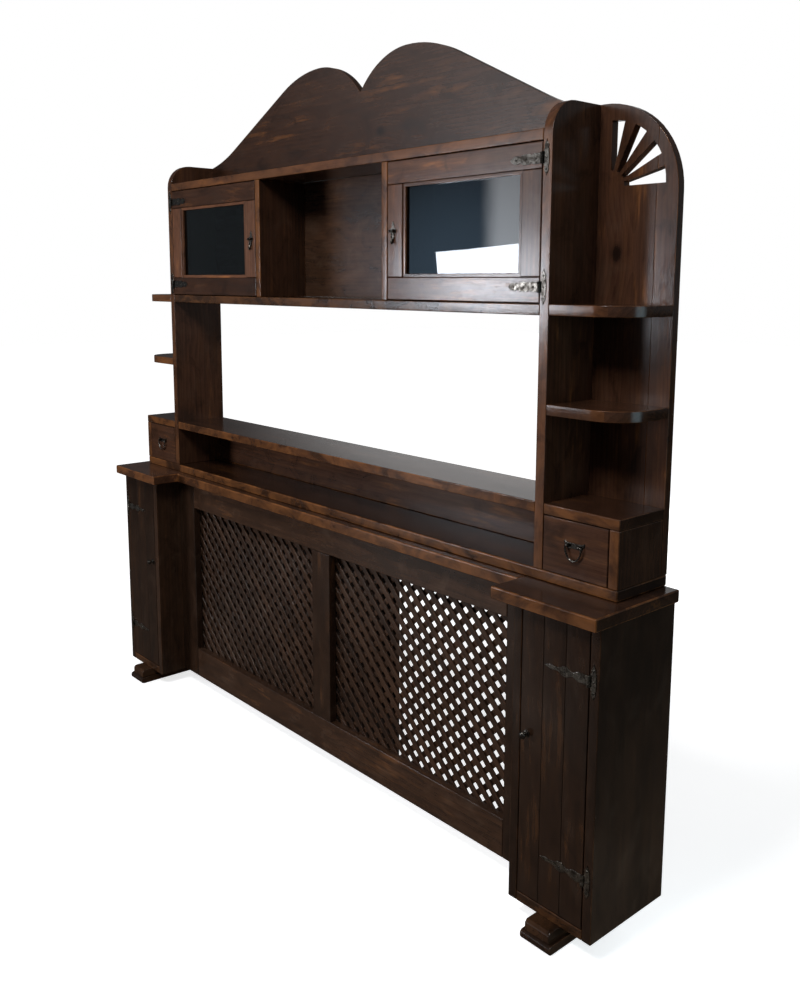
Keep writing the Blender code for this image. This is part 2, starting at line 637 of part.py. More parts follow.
def plank_door(where, side):
    """Grooved planks on two ledges, with a turned knob, in one pedestal."""
    x = (PEDESTAL_IN + PEDESTAL_SIDE + DOOR_GAP, PEDESTAL_OUT - PEDESTAL_SIDE - DOOR_GAP)
    z = (CARCASS_Z + PEDESTAL_BOTTOM + DOOR_GAP, CARCASS_TOP - DOOR_GAP)
    front = -PEDESTAL_DEPTH
    face = [(x[0], front)]
    for index in range(1, PLANK_COUNT):
        joint = x[0] + index * (x[1] - x[0]) / PLANK_COUNT
        face += [(joint - PLANK_GROOVE, front), (joint, front + PLANK_GROOVE), (joint + PLANK_GROOVE, front)]
    outline = face + [(x[1], front), (x[1], front + PLANK_DOOR), (x[0], front + PLANK_DOOR)]
    middle = (z[0] + z[1]) / 2
    name = "pedestal_" + where + "_door"
    door = plate(name, [outline], z[1] - z[0], "XY", (0, 0, middle), side=side)
    levels = {"lower": z[0] + PLANK_HINGE_INSET, "upper": z[1] - PLANK_HINGE_INSET}
    for level in levels.values():
        ledge = board(name + "_ledge", (x[0] + LEDGE_INSET, x[1] - LEDGE_INSET),
                      (front + PLANK_DOOR - EMBED, front + PLANK_DOOR + LEDGE_THICKNESS),
                      (level - LEDGE_HEIGHT / 2, level + LEDGE_HEIGHT / 2), side=side, edge=0)
        combine(door, ledge, "UNION")
    knob = [(0, KNOB_LENGTH), (0.6 * KNOB_RADIUS, KNOB_LENGTH), (KNOB_RADIUS, 0.75 * KNOB_LENGTH),
            (KNOB_RADIUS, 0.60 * KNOB_LENGTH), (0.4 * KNOB_RADIUS, 0.4 * KNOB_LENGTH),
            (0.4 * KNOB_RADIUS, 0.15 * KNOB_LENGTH), (KNOB_RADIUS, 0.08 * KNOB_LENGTH),
            (KNOB_RADIUS, -EMBED), (0, -EMBED)]
    place = (side * (x[0] + KNOB_INSET), front, middle + KNOB_RISE)
    combine(door, turned(name + "_knob", knob, place, turn=(pi / 2, 0, 0)), "UNION")
    hang_door(door, where, side, PEDESTAL_OUT - PEDESTAL_SIDE, front, levels,
              strap_outline(PLANK_STRAP, PLANK_STRAP_SHAPE), "plank_door")


def drop_pull(door, where, bar):
    """A pear-shaped drop on a cross bar, free to swing in the ears of its plate."""
    length = 2 * EAR_THICKNESS + 2 * DROP_RADIUS
    item = rod("drop_pull_" + where, bar, (1, 0, 0), length, DROP_BAR_RADIUS)
    drop = [(0, DROP_BAR_RADIUS), (DROP_BAR_RADIUS, DROP_BAR_RADIUS), (DROP_BAR_RADIUS, -0.45 * DROP_LENGTH),
            (0.7 * DROP_RADIUS, -0.62 * DROP_LENGTH), (DROP_RADIUS, -0.80 * DROP_LENGTH),
            (0.7 * DROP_RADIUS, -0.95 * DROP_LENGTH), (0, -DROP_LENGTH)]
    combine(item, turned(item.name + "_drop", drop, bar, steps=PIN_SIDES), "UNION")
    ride(item, door)


def glazed_door(where, side):
    """A framed door with its pane in a rebate, and a plate for the drop pull."""
    x = (DIVIDER_OUT + DOOR_GAP, UPRIGHT_IN - DOOR_GAP)
    z = (CABINET_FLOOR + DOOR_GAP, CABINET_TOP_Z - DOOR_GAP)
    front = -HUTCH_DEPTH
    sight_x = (x[0] + GLAZED_STILE, x[1] - GLAZED_STILE)
    sight_z = (z[0] + GLAZED_STILE, z[1] - GLAZED_STILE)
    middle = (z[0] + z[1]) / 2
    name = "glazed_door_" + where
    height = (z[0] - middle, z[1] - middle)
    sight = (sight_z[0] - middle, sight_z[1] - middle)
    door = plate(name, [rectangle(x, height), rectangle(sight_x, sight)], GLAZED_DOOR, "XZ",
                 (0, front + GLAZED_DOOR / 2, middle), side=side)
    bead_x = (sight_x[0] - BEAD_WIDTH, sight_x[1] + BEAD_WIDTH)
    bead_z = (sight_z[0] - BEAD_WIDTH, sight_z[1] + BEAD_WIDTH)
    step = (front - BEAD_STEP, front + BEAD_STEP)
    combine(door, board(name + "_bead", bead_x, step, bead_z, side=side, edge=0), "DIFFERENCE")
    lap_x = (sight_x[0] - REBATE_LAP, sight_x[1] + REBATE_LAP)
    lap_z = (sight_z[0] - REBATE_LAP, sight_z[1] + REBATE_LAP)
    rebate = (front + REBATE_FRONT, front + 2 * GLAZED_DOOR)
    combine(door, board(name + "_rebate", lap_x, rebate, lap_z, side=side, edge=0), "DIFFERENCE")
    pull_x = side * (x[0] + PULL_INSET)
    spread = DROP_PLATE_WIDTH / 2
    tall = DROP_PLATE_HEIGHT / 2
    outline = [(0, -tall), (spread, 0), (0.5 * spread, 0.5 * tall), (0, tall), (-0.5 * spread, 0.5 * tall),
               (-spread, 0)]
    thick = IRON + EMBED
    back = plate(name + "_plate", [outline], thick, "XZ", (pull_x, front - IRON + thick / 2, middle), WROUGHT)
    combine(door, back, "UNION")
    bar = pull_ears(door, (pull_x, middle), 2 * DROP_RADIUS + EAR_THICKNESS, front, DROP_BAR_RADIUS)
    levels = {"lower": z[0] + GLAZED_HINGE_INSET, "upper": z[1] - GLAZED_HINGE_INSET}
    hang_door(door, where, side, UPRIGHT_IN, front, levels,
              strap_outline(GLAZED_STRAP, GLAZED_STRAP_SHAPE), "glazed_door")
    pane_y = (rebate[0] + FIT, rebate[0] + FIT + PANE)
    pane = board("pane_" + where, (lap_x[0] + FIT, lap_x[1] - FIT), pane_y,
                 (lap_z[0] + FIT, lap_z[1] - FIT), GLASS, side, edge=0)
    ride(pane, door)
    drop_pull(door, where, bar)


def bail(where, drawer, bar):
    """A bent wire handle whose turned-in ends pivot in the drawer's ears."""
    leg = BAIL_WIDTH / 2
    tip = leg - BAIL_BEND - 1.5 * EAR_THICKNESS
    corner = arc((leg - BAIL_BEND, -BAIL_BEND), BAIL_BEND, 90, 0, 3)
    bow = [(leg * cos(turn), -BAIL_BEND - (BAIL_DROP - BAIL_BEND) * sin(turn))
           for turn in (pi * i / WIRE_STEPS for i in range(1, WIRE_STEPS))]
    route = [(tip, 0)] + corner + bow + across([(tip, 0)] + corner)
    curve = bpy.data.curves.new("bail_" + where, "CURVE")
    curve.dimensions = "3D"
    curve.bevel_depth = BAIL_RADIUS
    curve.bevel_resolution = 2
    curve.use_fill_caps = True
    spline = curve.splines.new("POLY")
    spline.points.add(len(route) - 1)
    for point, (u, v) in zip(spline.points, route):
        point.co = (u, 0, v, 1)
    item = add_object("drawer_" + where + "_bail", weld(curve, "bail_" + where), WROUGHT, bar)
    ride(item, drawer)


def drawer(where, side):
    """An open box behind its front, with a winged plate and ears for the bail."""
    x = (UPRIGHT_OUT + DRAWER_GAP, HUTCH_OUT - CASE_SIDE - DRAWER_GAP)
    y = (-HUTCH_DEPTH, -PANEL - DRAWER_DEPTH_GAP)
    z = (HUTCH_Z, SHELF_Z - DRAWER_GAP)
    name = "drawer_" + where
    item = board(name, x, y, z, side=side, edge=EDGE / 2)
    cavity = board(name + "_cavity", (x[0] + DRAWER_WALL, x[1] - DRAWER_WALL),
                   (y[0] + DRAWER_FRONT, y[1] - DRAWER_WALL),
                   (z[0] + DRAWER_FLOOR, z[1] + DRAWER_FLOOR), side=side, edge=0)
    combine(item, cavity, "DIFFERENCE")
    middle_x = side * (x[0] + x[1]) / 2
    middle_z = (z[0] + z[1]) / 2
    thick = IRON + EMBED
    bar_z = middle_z + BAIL_RISE
    wing = BAIL_PLATE_WIDTH / 2
    tall = BAIL_PLATE_HEIGHT / 2
    half = [(0, 0.7 * tall), (0.7 * wing, 0.8 * tall), (0.85 * wing, tall), (wing, 1.4 * tall),
            (0.95 * wing, 0.4 * tall), (0.75 * wing, -0.8 * tall), (0.55 * wing, -tall), (0, -0.7 * tall)]
    back = plate(name + "_plate", [half + across(half[1:-1])], thick, "XZ",
                 (middle_x, y[0] - IRON + thick / 2, bar_z), WROUGHT)
    combine(item, back, "UNION")
    ears = BAIL_WIDTH - 2 * BAIL_BEND - EAR_THICKNESS - 2 * FIT
    bar = pull_ears(item, (middle_x, bar_z), ears, y[0], BAIL_RADIUS)
    bail(where, item, bar)


def build():
    counter()
    lattice_frame()
    bay_back()
    hutch_boards()
    crest()
    for where, side in SIDES.items():
        foot(where, side)
        pedestal(where, side)
        lattice_panel(where, side)
        upright(where, side)
        corner_board(where, side)
        corner_shelf("corner_shelf_" + where + "_lower", side, CORNER_SHELF_Z)
        corner_shelf("corner_shelf_" + where + "_upper", side, CABINET_Z)
        drawer_case(where, side)
        plank_door(where, side)
        glazed_door(where, side)
        drawer(where, side)


build()
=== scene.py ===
"""Looks of a wall unit in dark stained pine: lattice base with two plank-door pedestals, and a
shallow hutch with end drawers, corner shelves, glazed doors, pierced corner boards and a crest."""

from contextlib import contextmanager
from math import cos, pi, radians, sin, sqrt
from random import Random

import bmesh
import bpy
import numpy as np
from mathutils import Matrix, Vector


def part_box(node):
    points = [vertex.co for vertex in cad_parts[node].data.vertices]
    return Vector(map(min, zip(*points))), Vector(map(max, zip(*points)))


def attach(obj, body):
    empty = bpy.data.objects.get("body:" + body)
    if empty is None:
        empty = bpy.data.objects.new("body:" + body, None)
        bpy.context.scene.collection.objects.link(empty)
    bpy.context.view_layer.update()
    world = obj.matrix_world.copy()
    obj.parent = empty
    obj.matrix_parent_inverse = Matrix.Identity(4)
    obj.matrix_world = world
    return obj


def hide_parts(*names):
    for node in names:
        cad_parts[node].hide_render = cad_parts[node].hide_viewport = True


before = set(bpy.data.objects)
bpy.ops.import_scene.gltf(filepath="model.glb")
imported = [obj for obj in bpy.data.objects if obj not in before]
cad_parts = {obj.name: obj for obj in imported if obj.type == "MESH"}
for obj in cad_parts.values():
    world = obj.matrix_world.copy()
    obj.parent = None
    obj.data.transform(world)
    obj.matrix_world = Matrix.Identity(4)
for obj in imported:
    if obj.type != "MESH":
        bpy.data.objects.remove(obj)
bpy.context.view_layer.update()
bpy.ops.object.select_all(action="DESELECT")

# Sizes of the joinery, in metres
ARRIS = 0.0022                 # rounding of planed edges
SOFT_ARRIS = 0.0035            # rounding of tops that hands rub
DOOR_GAP = 0.002
PLANK_DOOR = 0.020
PLANKS_PER_DOOR = 3
PLANK_BEVEL = 0.0012           # two of these make the V groove between planks
LEDGE_HEIGHT = 0.060
LEDGE_THICKNESS = 0.016
LEDGE_INSET = 0.015
PLANK_HINGE_INSET = 0.120
GLAZED_DOOR = 0.022
GLAZED_STILE = 0.067
GLAZED_HINGE_INSET = 0.036
BEAD_WIDTH = 0.009
BEAD_STEP = 0.003              # the bead lies this far below the door's face
BEAD_DEPTH = 0.007
BEAD_ARRIS = 0.0008
JOINT = 0.0004                 # open line between two timbers of a frame
FRAME_STILE = 0.104
FRAME_CENTRE_STILE = 0.087
FRAME_TOP_RAIL = 0.090
FRAME_BOTTOM_RAIL = 0.104
LATH_PITCH = 0.033
LATH_WIDTH = 0.0165
LATH_ARRIS = 0.0009
BACK_PLANK = 0.118             # width of the planks in the bay's back
CORNER_PLANK = 0.156           # inner plank of the pierced corner boards
CORNER_ARRIS = 0.0012
DRAWER_FRONT = 0.018
DRAWER_WALL = 0.010
DRAWER_FLOOR = 0.007
FOOT_BASE_HEIGHT = 0.022
FOOT_STEP = 0.008
FOOT_NOSE = 0.0095
FOOT_CHAMFER = 0.007

# Sizes of the ironwork, in metres
IRON = 0.0016
PLANK_STRAP = 0.125
GLAZED_STRAP = 0.095
STRAP_HEIGHT = 0.024
LEAF_HEIGHT = 0.078
LEAF_WIDTH = 0.019
BARREL_RADIUS = 0.0040
BARREL_HEIGHT = 0.026
KNUCKLE_HEIGHT = 0.010
SLIT = 0.0003                  # between knuckles
SCREW_RADIUS = 0.0027
SCREW_HEIGHT = 0.0013
SCREW_SLOT = 0.0007
SCREW_TURNS = (1.1, 0.8)       # radians: how the first slot stands, and each next one from it
EAR_THICKNESS = 0.004
EAR_REACH = 0.010
EAR_HEIGHT = 0.008
EAR_ARRIS = 0.0004
BAIL_WIDTH = 0.045
BAIL_DROP = 0.034
BAIL_RADIUS = 0.0021
BAIL_BEND = 0.0042
BAIL_PLATE_WIDTH = 0.058
BAIL_PLATE_HEIGHT = 0.016
DROP_LENGTH = 0.034
DROP_RADIUS = 0.0045
DROP_BAR_RADIUS = 0.0016
DROP_PLATE_HEIGHT = 0.046
DROP_PLATE_WIDTH = 0.020
PULL_INSET = 0.023
KNOB_RADIUS = 0.009
KNOB_LENGTH = 0.020
KNOB_INSET = 0.018
KNOB_RISE = 0.048              # above the middle of the door
RIM_BLACKING = 0.7             # how much blacking is left in the rims and on the screws
PULL_BLACKING = 0.6            # and on knobs, pulls and bails
GLAZED_BLACKING = 0.75         # and on the faces of the glazed doors' hinges

# Half outlines of the straps: shares of the length from the knuckle, and of half the height
PLANK_STRAP_SHAPE = ((0, 0.75), (0.10, 1), (0.24, 0.8), (0.30, 0.4), (0.38, 0.45), (0.46, 1), (0.56, 0.9),
                     (0.63, 0.35), (0.74, 0.3), (0.82, 0.45), (0.90, 0.22))
GLAZED_STRAP_SHAPE = ((0, 1), (0.26, 1), (0.30, 0.6), (0.34, 1), (0.60, 1), (0.66, 0.45), (0.73, 0.8),
                      (0.86, 0.75), (0.95, 0.35))
PLANK_STRAP_SCREWS = (0.13, 0.50)
GLAZED_STRAP_SCREWS = (0.15, 0.47, 0.80)

SIDES = {"left": -1, "right": 1}
MM = 0.001
WELD = 0.00001                 # points closer than this are one
FACING = 0.9                   # a face looks along an axis when its normal has this share of it
SLANTING = (0.2, 0.95)         # and it is a chamfer between these shares

# How far a timber's arrises and its narrow edges are rubbed bare; below zero, they hold grime
RUBBED = (0.7, 0.45)
EASED = (0.35, 0.25)
KEPT = (0.2, 0.0)
JOINTED = (-0.2, 0.0)
GROOVED = (-0.4, 0.0)
DULL = (-0.3, -0.15)
SPLIT = (0.5, 0.0)
EDGED = (0.25, 0.45)
LATH_WEAR = 0.8

# Boards that are plainly darker or lighter; the rest fall between -1 and 1 by chance. Some of these tones are
# painted light, not the wood's own: the cabinet's back and the left pedestal's inner side are lightened for
# light falling on them, and the hutch's base board is darkened as painted shade.
DARKEST, LIGHTEST = -2.0, 5.0
TONE_AND_PAINTED_LIGHT = {
    "crest": -1.4,
    "upright_left": 0.4,
    "upright_right": 1.5,
    "cabinet_back": 4.5,
    "centre_top": -0.6,
    "drawer_case_left_top": -0.8,
    "drawer_case_right_side": 0.4,
    "drawer_case_right_top": -0.8,
    "hutch_base_board": -2.0,
    "pedestal_left_inner_side": 2.0,
    "pedestal_left_outer_side": 0.2,
    "pedestal_left_top": 2.0,
    "pedestal_right_inner_side": -0.8,
    "pedestal_right_outer_side": 0.1,
    "shelf_fascia": 0.5,
}
CORNER_TONE = 0.5
FOOT_TONE = -0.5
FRAME_STILE_TONE = 0.1
# Painted light: the lattice frame's rails are lightened for the light that falls on them.
FRAME_RAIL_PAINTED_LIGHT = 2.8
# Painted light in the doors' tones: the right door's stiles and rails are lightened for their sheen, and the
# left door's rails are darkened as painted shade; the left door's stiles are lighter wood, and the beads take
# the stiles' tone.
DOOR_STILE_TONE_AND_PAINTED_LIGHT = {"left": 4.0, "right": 1.3}
DOOR_RAIL_PAINTED_LIGHT = {"left": -0.6, "right": 0.9}
DRAWER_TONE = 0.0
PLANK_TONE = -0.4


# Materials


def colour(code, alpha=1.0):
    """An sRGB hex value as linear light."""
    parts = [int(code[i:i + 2], 16) / 255 for i in (1, 3, 5)]
    linear = [part / 12.92 if part <= 0.04045 else ((part + 0.055) / 1.055) ** 2.4 for part in parts]
    return (*linear, alpha)


def feed(tree, node, inputs):
    """Fills a node's inputs. Each is a value, an output, or a node, which stands for its first output."""
    for key, value in inputs.items():
        if isinstance(value, bpy.types.Node):
            value = value.outputs[0]
        if isinstance(value, bpy.types.NodeSocket):
            tree.links.new(value, node.inputs[key])
        else:
            node.inputs[key].default_value = value
    return node


def add(tree, kind, *inputs, into=None, **settings):
    """A shader node with its settings; inputs come in the node's own order, or go into sockets by name."""
    node = tree.nodes.new("ShaderNode" + kind)
    for key, value in settings.items():
        setattr(node, key, value)
    return feed(tree, node, {**dict(enumerate(inputs)), **(into or {})})


# Settings that many nodes share
SMOOTH = {"interpolation_type": "SMOOTHSTEP"}
TIMES = {"operation": "MULTIPLY"}
PLUS = {"operation": "ADD"}
ALONG = {"operation": "DOT_PRODUCT"}


def new_material(name):
    material = bpy.data.materials.new(name)
    material.use_nodes = True
    tree = material.node_tree
    return material, tree, tree.nodes["Principled BSDF"]


def stained_pine(name, heart, sap, rub, streak, gloss):
    """Planed pine under walnut stain and thin lacquer: dark rings that bend round a few knots, long
    fibres, orange streaks, clouds where the stain took unevenly, dusty scuffs, boards lighter and darker
    than their neighbours (by chance, and on some boards as painted light and shade), grooves dark with wax
    and dust, and edges rubbed through to the orange wood."""
    material, tree, shader = new_material(name)
    ring_width = 11 * MM
    fibre_width = 2 * MM       # drawn coarser than real fibres, to show in the render
    streak_width = 20 * MM
    cloud_width = 110 * MM
    scuff_width = 60 * MM
    knot_spacing = 210 * MM
    wave_unit = 2 * pi / 20    # the wave texture's own period
    heart, sap, rub = colour(heart), colour(sap), colour(rub)
    dust, knot_heart, grime = colour("#57463a"), colour("#120a07"), colour("#0f0906")
    wood = add(tree, "Attribute", attribute_name="wood").outputs["Vector"]
    wear = add(tree, "Attribute", attribute_name="wear").outputs["Fac"]
    tone = add(tree, "Attribute", attribute_name="tone").outputs["Fac"]
    drawn_out, combed, streaky, cloudy, branchy = (
        add(tree, "Mapping", into={"Vector": wood, "Scale": (squeeze, 1, 1)})
        for squeeze in (0.06, 0.03, 0.12, 0.28, 0.6)
    )
    knots = add(tree, "TexVoronoi", into={"Vector": branchy, "Scale": 1 / knot_spacing, "Randomness": 1.0})
    swirl = add(tree, "MapRange", knots, 0.05, 0.40, 10.0, 0.0, **SMOOTH)
    rings = add(tree, "TexWave", into={
        "Vector": drawn_out, "Scale": wave_unit / ring_width, "Distortion": 12.0, "Detail": 3.0,
        "Detail Scale": 0.35, "Detail Roughness": 0.6, "Phase Offset": swirl,
    }, wave_type="RINGS", rings_direction="X", wave_profile="SAW").outputs["Fac"]
    fibres = add(tree, "TexNoise", into={
        "Vector": combed, "Scale": 1 / fibre_width, "Detail": 3.0, "Roughness": 0.65,
    })
    streaks = add(tree, "TexNoise", into={
        "Vector": streaky, "Scale": 1 / streak_width, "Detail": 3.0, "Roughness": 0.6,
    })
    clouds = add(tree, "TexNoise", into={
        "Vector": cloudy, "Scale": 1 / cloud_width, "Detail": 5.0, "Roughness": 0.65,
    })
    scuffs = add(tree, "TexNoise", into={
        "Vector": branchy, "Scale": 1 / scuff_width, "Detail": 6.0, "Roughness": 0.62, "Distortion": 0.8,
    })
    late_wood = add(tree, "MapRange", rings, 0.15, 1.0, 0.0, 0.30, **SMOOTH)
    ringed = add(tree, "MixRGB", late_wood, sap, heart)
    fibre_share = add(tree, "MapRange", fibres, 0.42, 0.68, 0.0, 0.4)
    fibrous = add(tree, "MixRGB", fibre_share, ringed, heart)
    cloud_share = add(tree, "MapRange", clouds, 0.45, 0.68, 0.0, 0.6, **SMOOTH)
    clouded = add(tree, "MixRGB", cloud_share, fibrous, heart)
    streak_level = add(tree, "MapRange", streaks, 0.46, 0.70, 0.0, streak, **SMOOTH)
    thin_stain = add(tree, "MapRange", clouds, 0.34, 0.47, 1.0, 0.1, **SMOOTH)
    streak_share = add(tree, "Math", streak_level, thin_stain, **TIMES)
    streaked = add(tree, "MixRGB", streak_share, clouded, rub)
    scuff_share = add(tree, "MapRange", scuffs, 0.50, 0.72, 0.0, 0.12, **SMOOTH)
    scuffed = add(tree, "MixRGB", scuff_share, streaked, dust)
    smoke_share = add(tree, "MapRange", scuffs, 0.30, 0.50, 0.55, 0.0, **SMOOTH)
    smoky = add(tree, "MixRGB", smoke_share, scuffed, heart)
    # The tone scales the colour: the board's own, and on some boards painted light and shade.
    tone_level = add(tree, "MapRange", tone, DARKEST, LIGHTEST, 0.45, 2.48)
    toned = add(tree, "VectorMath", smoky, into={"Scale": tone_level}, operation="SCALE")
    knot_share = add(tree, "MapRange", knots, 0.03, 0.09, 0.9, 0.0, **SMOOTH)
    knotty = add(tree, "MixRGB", knot_share, toned, knot_heart)
    rub_patches = add(tree, "MapRange", scuffs, 0.40, 0.60, 0.15, 1.0)
    rub_share = add(tree, "Math", wear, rub_patches, use_clamp=True, **TIMES)
    rubbed = add(tree, "MixRGB", rub_share, knotty, rub)
    grime_share = add(tree, "Math", wear, -1.0, use_clamp=True, **TIMES)
    grimy = add(tree, "MixRGB", grime_share, rubbed, grime)
    combed_gloss = add(tree, "MapRange", fibres, 0.30, 0.75, gloss, gloss + 0.05)
    cloudy_gloss = add(tree, "MapRange", clouds, 0.35, 0.70, 0.0, 0.05)
    lacquer = add(tree, "Math", combed_gloss, cloudy_gloss, **PLUS)
    relief = add(tree, "Bump", into={"Height": fibres, "Strength": 0.4, "Distance": 0.4 * MM})
    feed(tree, shader, {"Base Color": grimy, "Roughness": lacquer, "Normal": relief, "IOR": 1.48})
    return material


def window_glass():
    """Old drawn sheet glass with a smoky blue body that mirrors the light; the body is also darkened as
    painted shade, so that the inside of the cabinet looks dim.
    """
    material, tree, shader = new_material("window_glass")
    ripple_width = 90 * MM
    place = add(tree, "TexCoord").outputs["Object"]
    ripple = add(tree, "TexNoise", into={"Vector": place, "Scale": 1 / ripple_width, "Detail": 1.0})
    relief = add(tree, "Bump", into={"Height": ripple, "Strength": 0.05, "Distance": 1 * MM})
    # The blue is the glass's own; its darkness is painted shade for the inside of the cabinet.
    tint = add(tree, "MixRGB", ripple, colour("#454f54"), colour("#4c565b"))
    feed(tree, shader, {
        "Base Color": tint, "Normal": relief, "Roughness": 0.01, "IOR": 1.52, "Transmission Weight": 1.0,
    })
    return material


def blackened_iron():
    """Cast and blackened ironwork: pewter grey where it is rubbed, brown-black where the blacking
    holds, faintly hammered."""
    material, tree, shader = new_material("blackened_iron")
    dent_width = 5 * MM
    stain_width = 11 * MM
    place = add(tree, "TexCoord").outputs["Object"]
    blacking = add(tree, "Attribute", attribute_name="blacking").outputs["Fac"]
    dents = add(tree, "TexNoise", into={"Vector": place, "Scale": 1 / dent_width, "Detail": 2.0})
    stains = add(tree, "TexNoise", into={
        "Vector": place, "Scale": 1 / stain_width, "Detail": 4.0, "Roughness": 0.65,
    })
    stain_share = add(tree, "MapRange", stains, 0.38, 0.62, 0.0, 1.0)
    patina = add(tree, "MixRGB", stain_share, colour("#554f47"), colour("#b0aaa1"))
    blacked = add(tree, "MixRGB", blacking, patina, colour("#1d1916"))
    dullness = add(tree, "MapRange", stains, 0.3, 0.7, 0.36, 0.20)
    relief = add(tree, "Bump", into={"Height": dents, "Strength": 0.1, "Distance": 0.3 * MM})
    feed(tree, shader, {"Base Color": blacked, "Roughness": dullness, "Normal": relief, "Metallic": 1.0})
    return material


PINE = stained_pine("stained_pine", "#1f130c", "#462d20", "#84532c", 0.60, 0.12)
# Painted shade: a darker copy of the pine for the base and the cabinet's bottom and back.
SHADED_PINE = stained_pine("dark_stained_pine", "#170f0a", "#2d1e15", "#6b4528", 0.30, 0.12)
LATH_PINE = stained_pine("lath_pine", "#1a110c", "#38261b", "#553a29", 0.25, 0.20)
GLASS = window_glass()
BLACK_IRON = blackened_iron()


# Modelling by hand


def new_object(name, data):
    item = bpy.data.objects.new(name, data)
    bpy.context.scene.collection.objects.link(item)
    return item


@contextmanager
def editing(piece, picking="FACE"):
    """Edit mode on one piece, with nothing picked."""
    bpy.ops.object.select_all(action="DESELECT")
    piece.select_set(True)
    bpy.context.view_layer.objects.active = piece
    bpy.ops.object.mode_set(mode="EDIT")
    bpy.ops.mesh.select_mode(type=picking)
    bpy.ops.mesh.select_all(action="DESELECT")
    yield bmesh.from_edit_mesh(piece.data)
    bpy.ops.object.mode_set(mode="OBJECT")


def pick_faces(cage, wanted):
    for face in cage.faces:
        face.select_set(wanted(face))


def pick_edges(cage, wanted):
    for edge in cage.edges:
        edge.select_set(wanted((edge.verts[0].co + edge.verts[1].co) / 2))


def place_in_log(chance):
    """Where in the tree a timber was cut: along the log, across it and out from the heart."""
    return chance.uniform(0, 6), chance.uniform(-0.07, 0.07), chance.uniform(0.02, 0.10)


def mark(mesh, wood, tones, wear):
    """Writes the wood's own coordinates and tone on the points of a mesh, and the wear on its faces."""
    for name, kind, domain, key, values in (
        ("wood", "FLOAT_VECTOR", "POINT", "vector", wood.astype(np.float32).ravel()),
        ("tone", "FLOAT", "POINT", "value", tones),
        ("wear", "FLOAT", "FACE", "value", wear),
    ):
        mesh.attributes.new(name, kind, domain).data.foreach_set(key, values)


def lay_grain(piece, grain, wear=KEPT, tone=None):
    """Gives a timber its own stretch of wood along its grain, and its wear. Its picked faces are
    the rounded arrises."""
    mesh = piece.data
    points = np.empty(len(mesh.vertices) * 3, np.float32)
    mesh.vertices.foreach_get("co", points)
    points = points.reshape(-1, 3)
    low, high = points.min(axis=0), points.max(axis=0)
    along = "XYZ".index(grain)
    others = (axis for axis in range(3) if axis != along)
    across, through = sorted(others, key=lambda axis: low[axis] - high[axis])
    chance = Random(" ".join(f"{value:.3f}" for value in (*low, *high)))
    log = np.array(place_in_log(chance), np.float32)
    wood = (points - (low + high) / 2)[:, (along, across, through)] + log
    tone = chance.uniform(-1, 1) if tone is None else tone
    arris_wear, edge_wear = wear
    shares = [arris_wear if face.select else edge_wear * (abs(face.normal[across]) > FACING)
              for face in mesh.polygons]
    mark(mesh, wood, np.full(len(points), tone, np.float32), shares)


def block(low, high):
    """A square block between two corners, with its place in its mesh."""
    low, high = Vector(low), Vector(high)
    bpy.ops.mesh.primitive_cube_add(size=1, location=(low + high) / 2, scale=high - low)
    bpy.ops.object.transform_apply()
    return bpy.context.object


def timber(low, high, grain, arris=ARRIS, wear=KEPT, segments=2, tone=None):
    """A planed board between two corners, with its arrises rounded."""
    piece = block(low, high)
    with editing(piece, "EDGE") as cage:
        bpy.ops.mesh.select_all(action="SELECT")
        bpy.ops.mesh.bevel(offset=arris, segments=segments, affect="EDGES")
        bpy.ops.mesh.select_mode(type="FACE")
        pick_faces(cage, lambda face: max(map(abs, face.normal)) < SLANTING[1])
    lay_grain(piece, grain, wear, tone)
    return piece


def round_over(piece, wanted, width, segments):
    """Bevels the edges whose middles are wanted."""
    with editing(piece, "EDGE") as cage:
        pick_edges(cage, wanted)
        bpy.ops.mesh.bevel(offset=width, segments=segments, affect="EDGES")


def ease_sharp(piece, arris, segments=2):
    """Rounds every sharp arris of a piece and leaves the new faces picked."""
    with editing(piece, "EDGE"):
        bpy.ops.mesh.edges_select_sharp(sharpness=radians(40))
        bpy.ops.mesh.bevel(offset=arris, segments=segments, affect="EDGES", clamp_overlap=True)


def saw(piece, point, normal):
    """Cuts off what lies beyond a plane and closes the cut."""
    with editing(piece):
        bpy.ops.mesh.select_all(action="SELECT")
        bpy.ops.mesh.bisect(plane_co=point, plane_no=normal, use_fill=True, clear_outer=True)


def from_solid(node):
    """A copy of a solid with its loose triangles merged and its flat faces whole."""
    piece = new_object(node + "_copy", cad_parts[node].data.copy())
    with editing(piece, "VERT"):
        bpy.ops.mesh.select_all(action="SELECT")
        bpy.ops.mesh.remove_doubles(threshold=WELD)
        bpy.ops.mesh.dissolve_limited(angle_limit=radians(1))
    return piece


def pick_chamfers(piece, thickness_axis):
    """Leaves the slanting faces of an outlined board picked."""
    with editing(piece) as cage:
        pick_faces(cage, lambda face: SLANTING[0] < abs(face.normal[thickness_axis]) < SLANTING[1])


def join(pieces):
    bpy.ops.object.select_all(action="DESELECT")
    for piece in pieces:
        piece.select_set(True)
    bpy.context.view_layer.objects.active = pieces[0]
    if len(pieces) > 1:
        bpy.ops.object.join()
    return bpy.context.object


def fit(name, pieces, body, material, *nodes):
    """Joins the timbers or irons of one piece, shades them, and hangs the piece on its body."""
    piece = join(pieces)
    piece.name = name
    piece.data.name = name
    bpy.ops.object.shade_smooth_by_angle(angle=radians(50))
    shading = piece.modifiers.new("flat faces", "WEIGHTED_NORMAL")
    shading.keep_sharp = True
    bpy.ops.object.modifier_apply(modifier=shading.name)
    piece.data.materials.clear()
    piece.data.materials.append(material)
    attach(piece, body)
    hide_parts(*nodes)
    return piece


def pine(name, pieces, body, *nodes, material=PINE, slot="stained_pine"):
    return fit(name, pieces, body, material, *nodes)


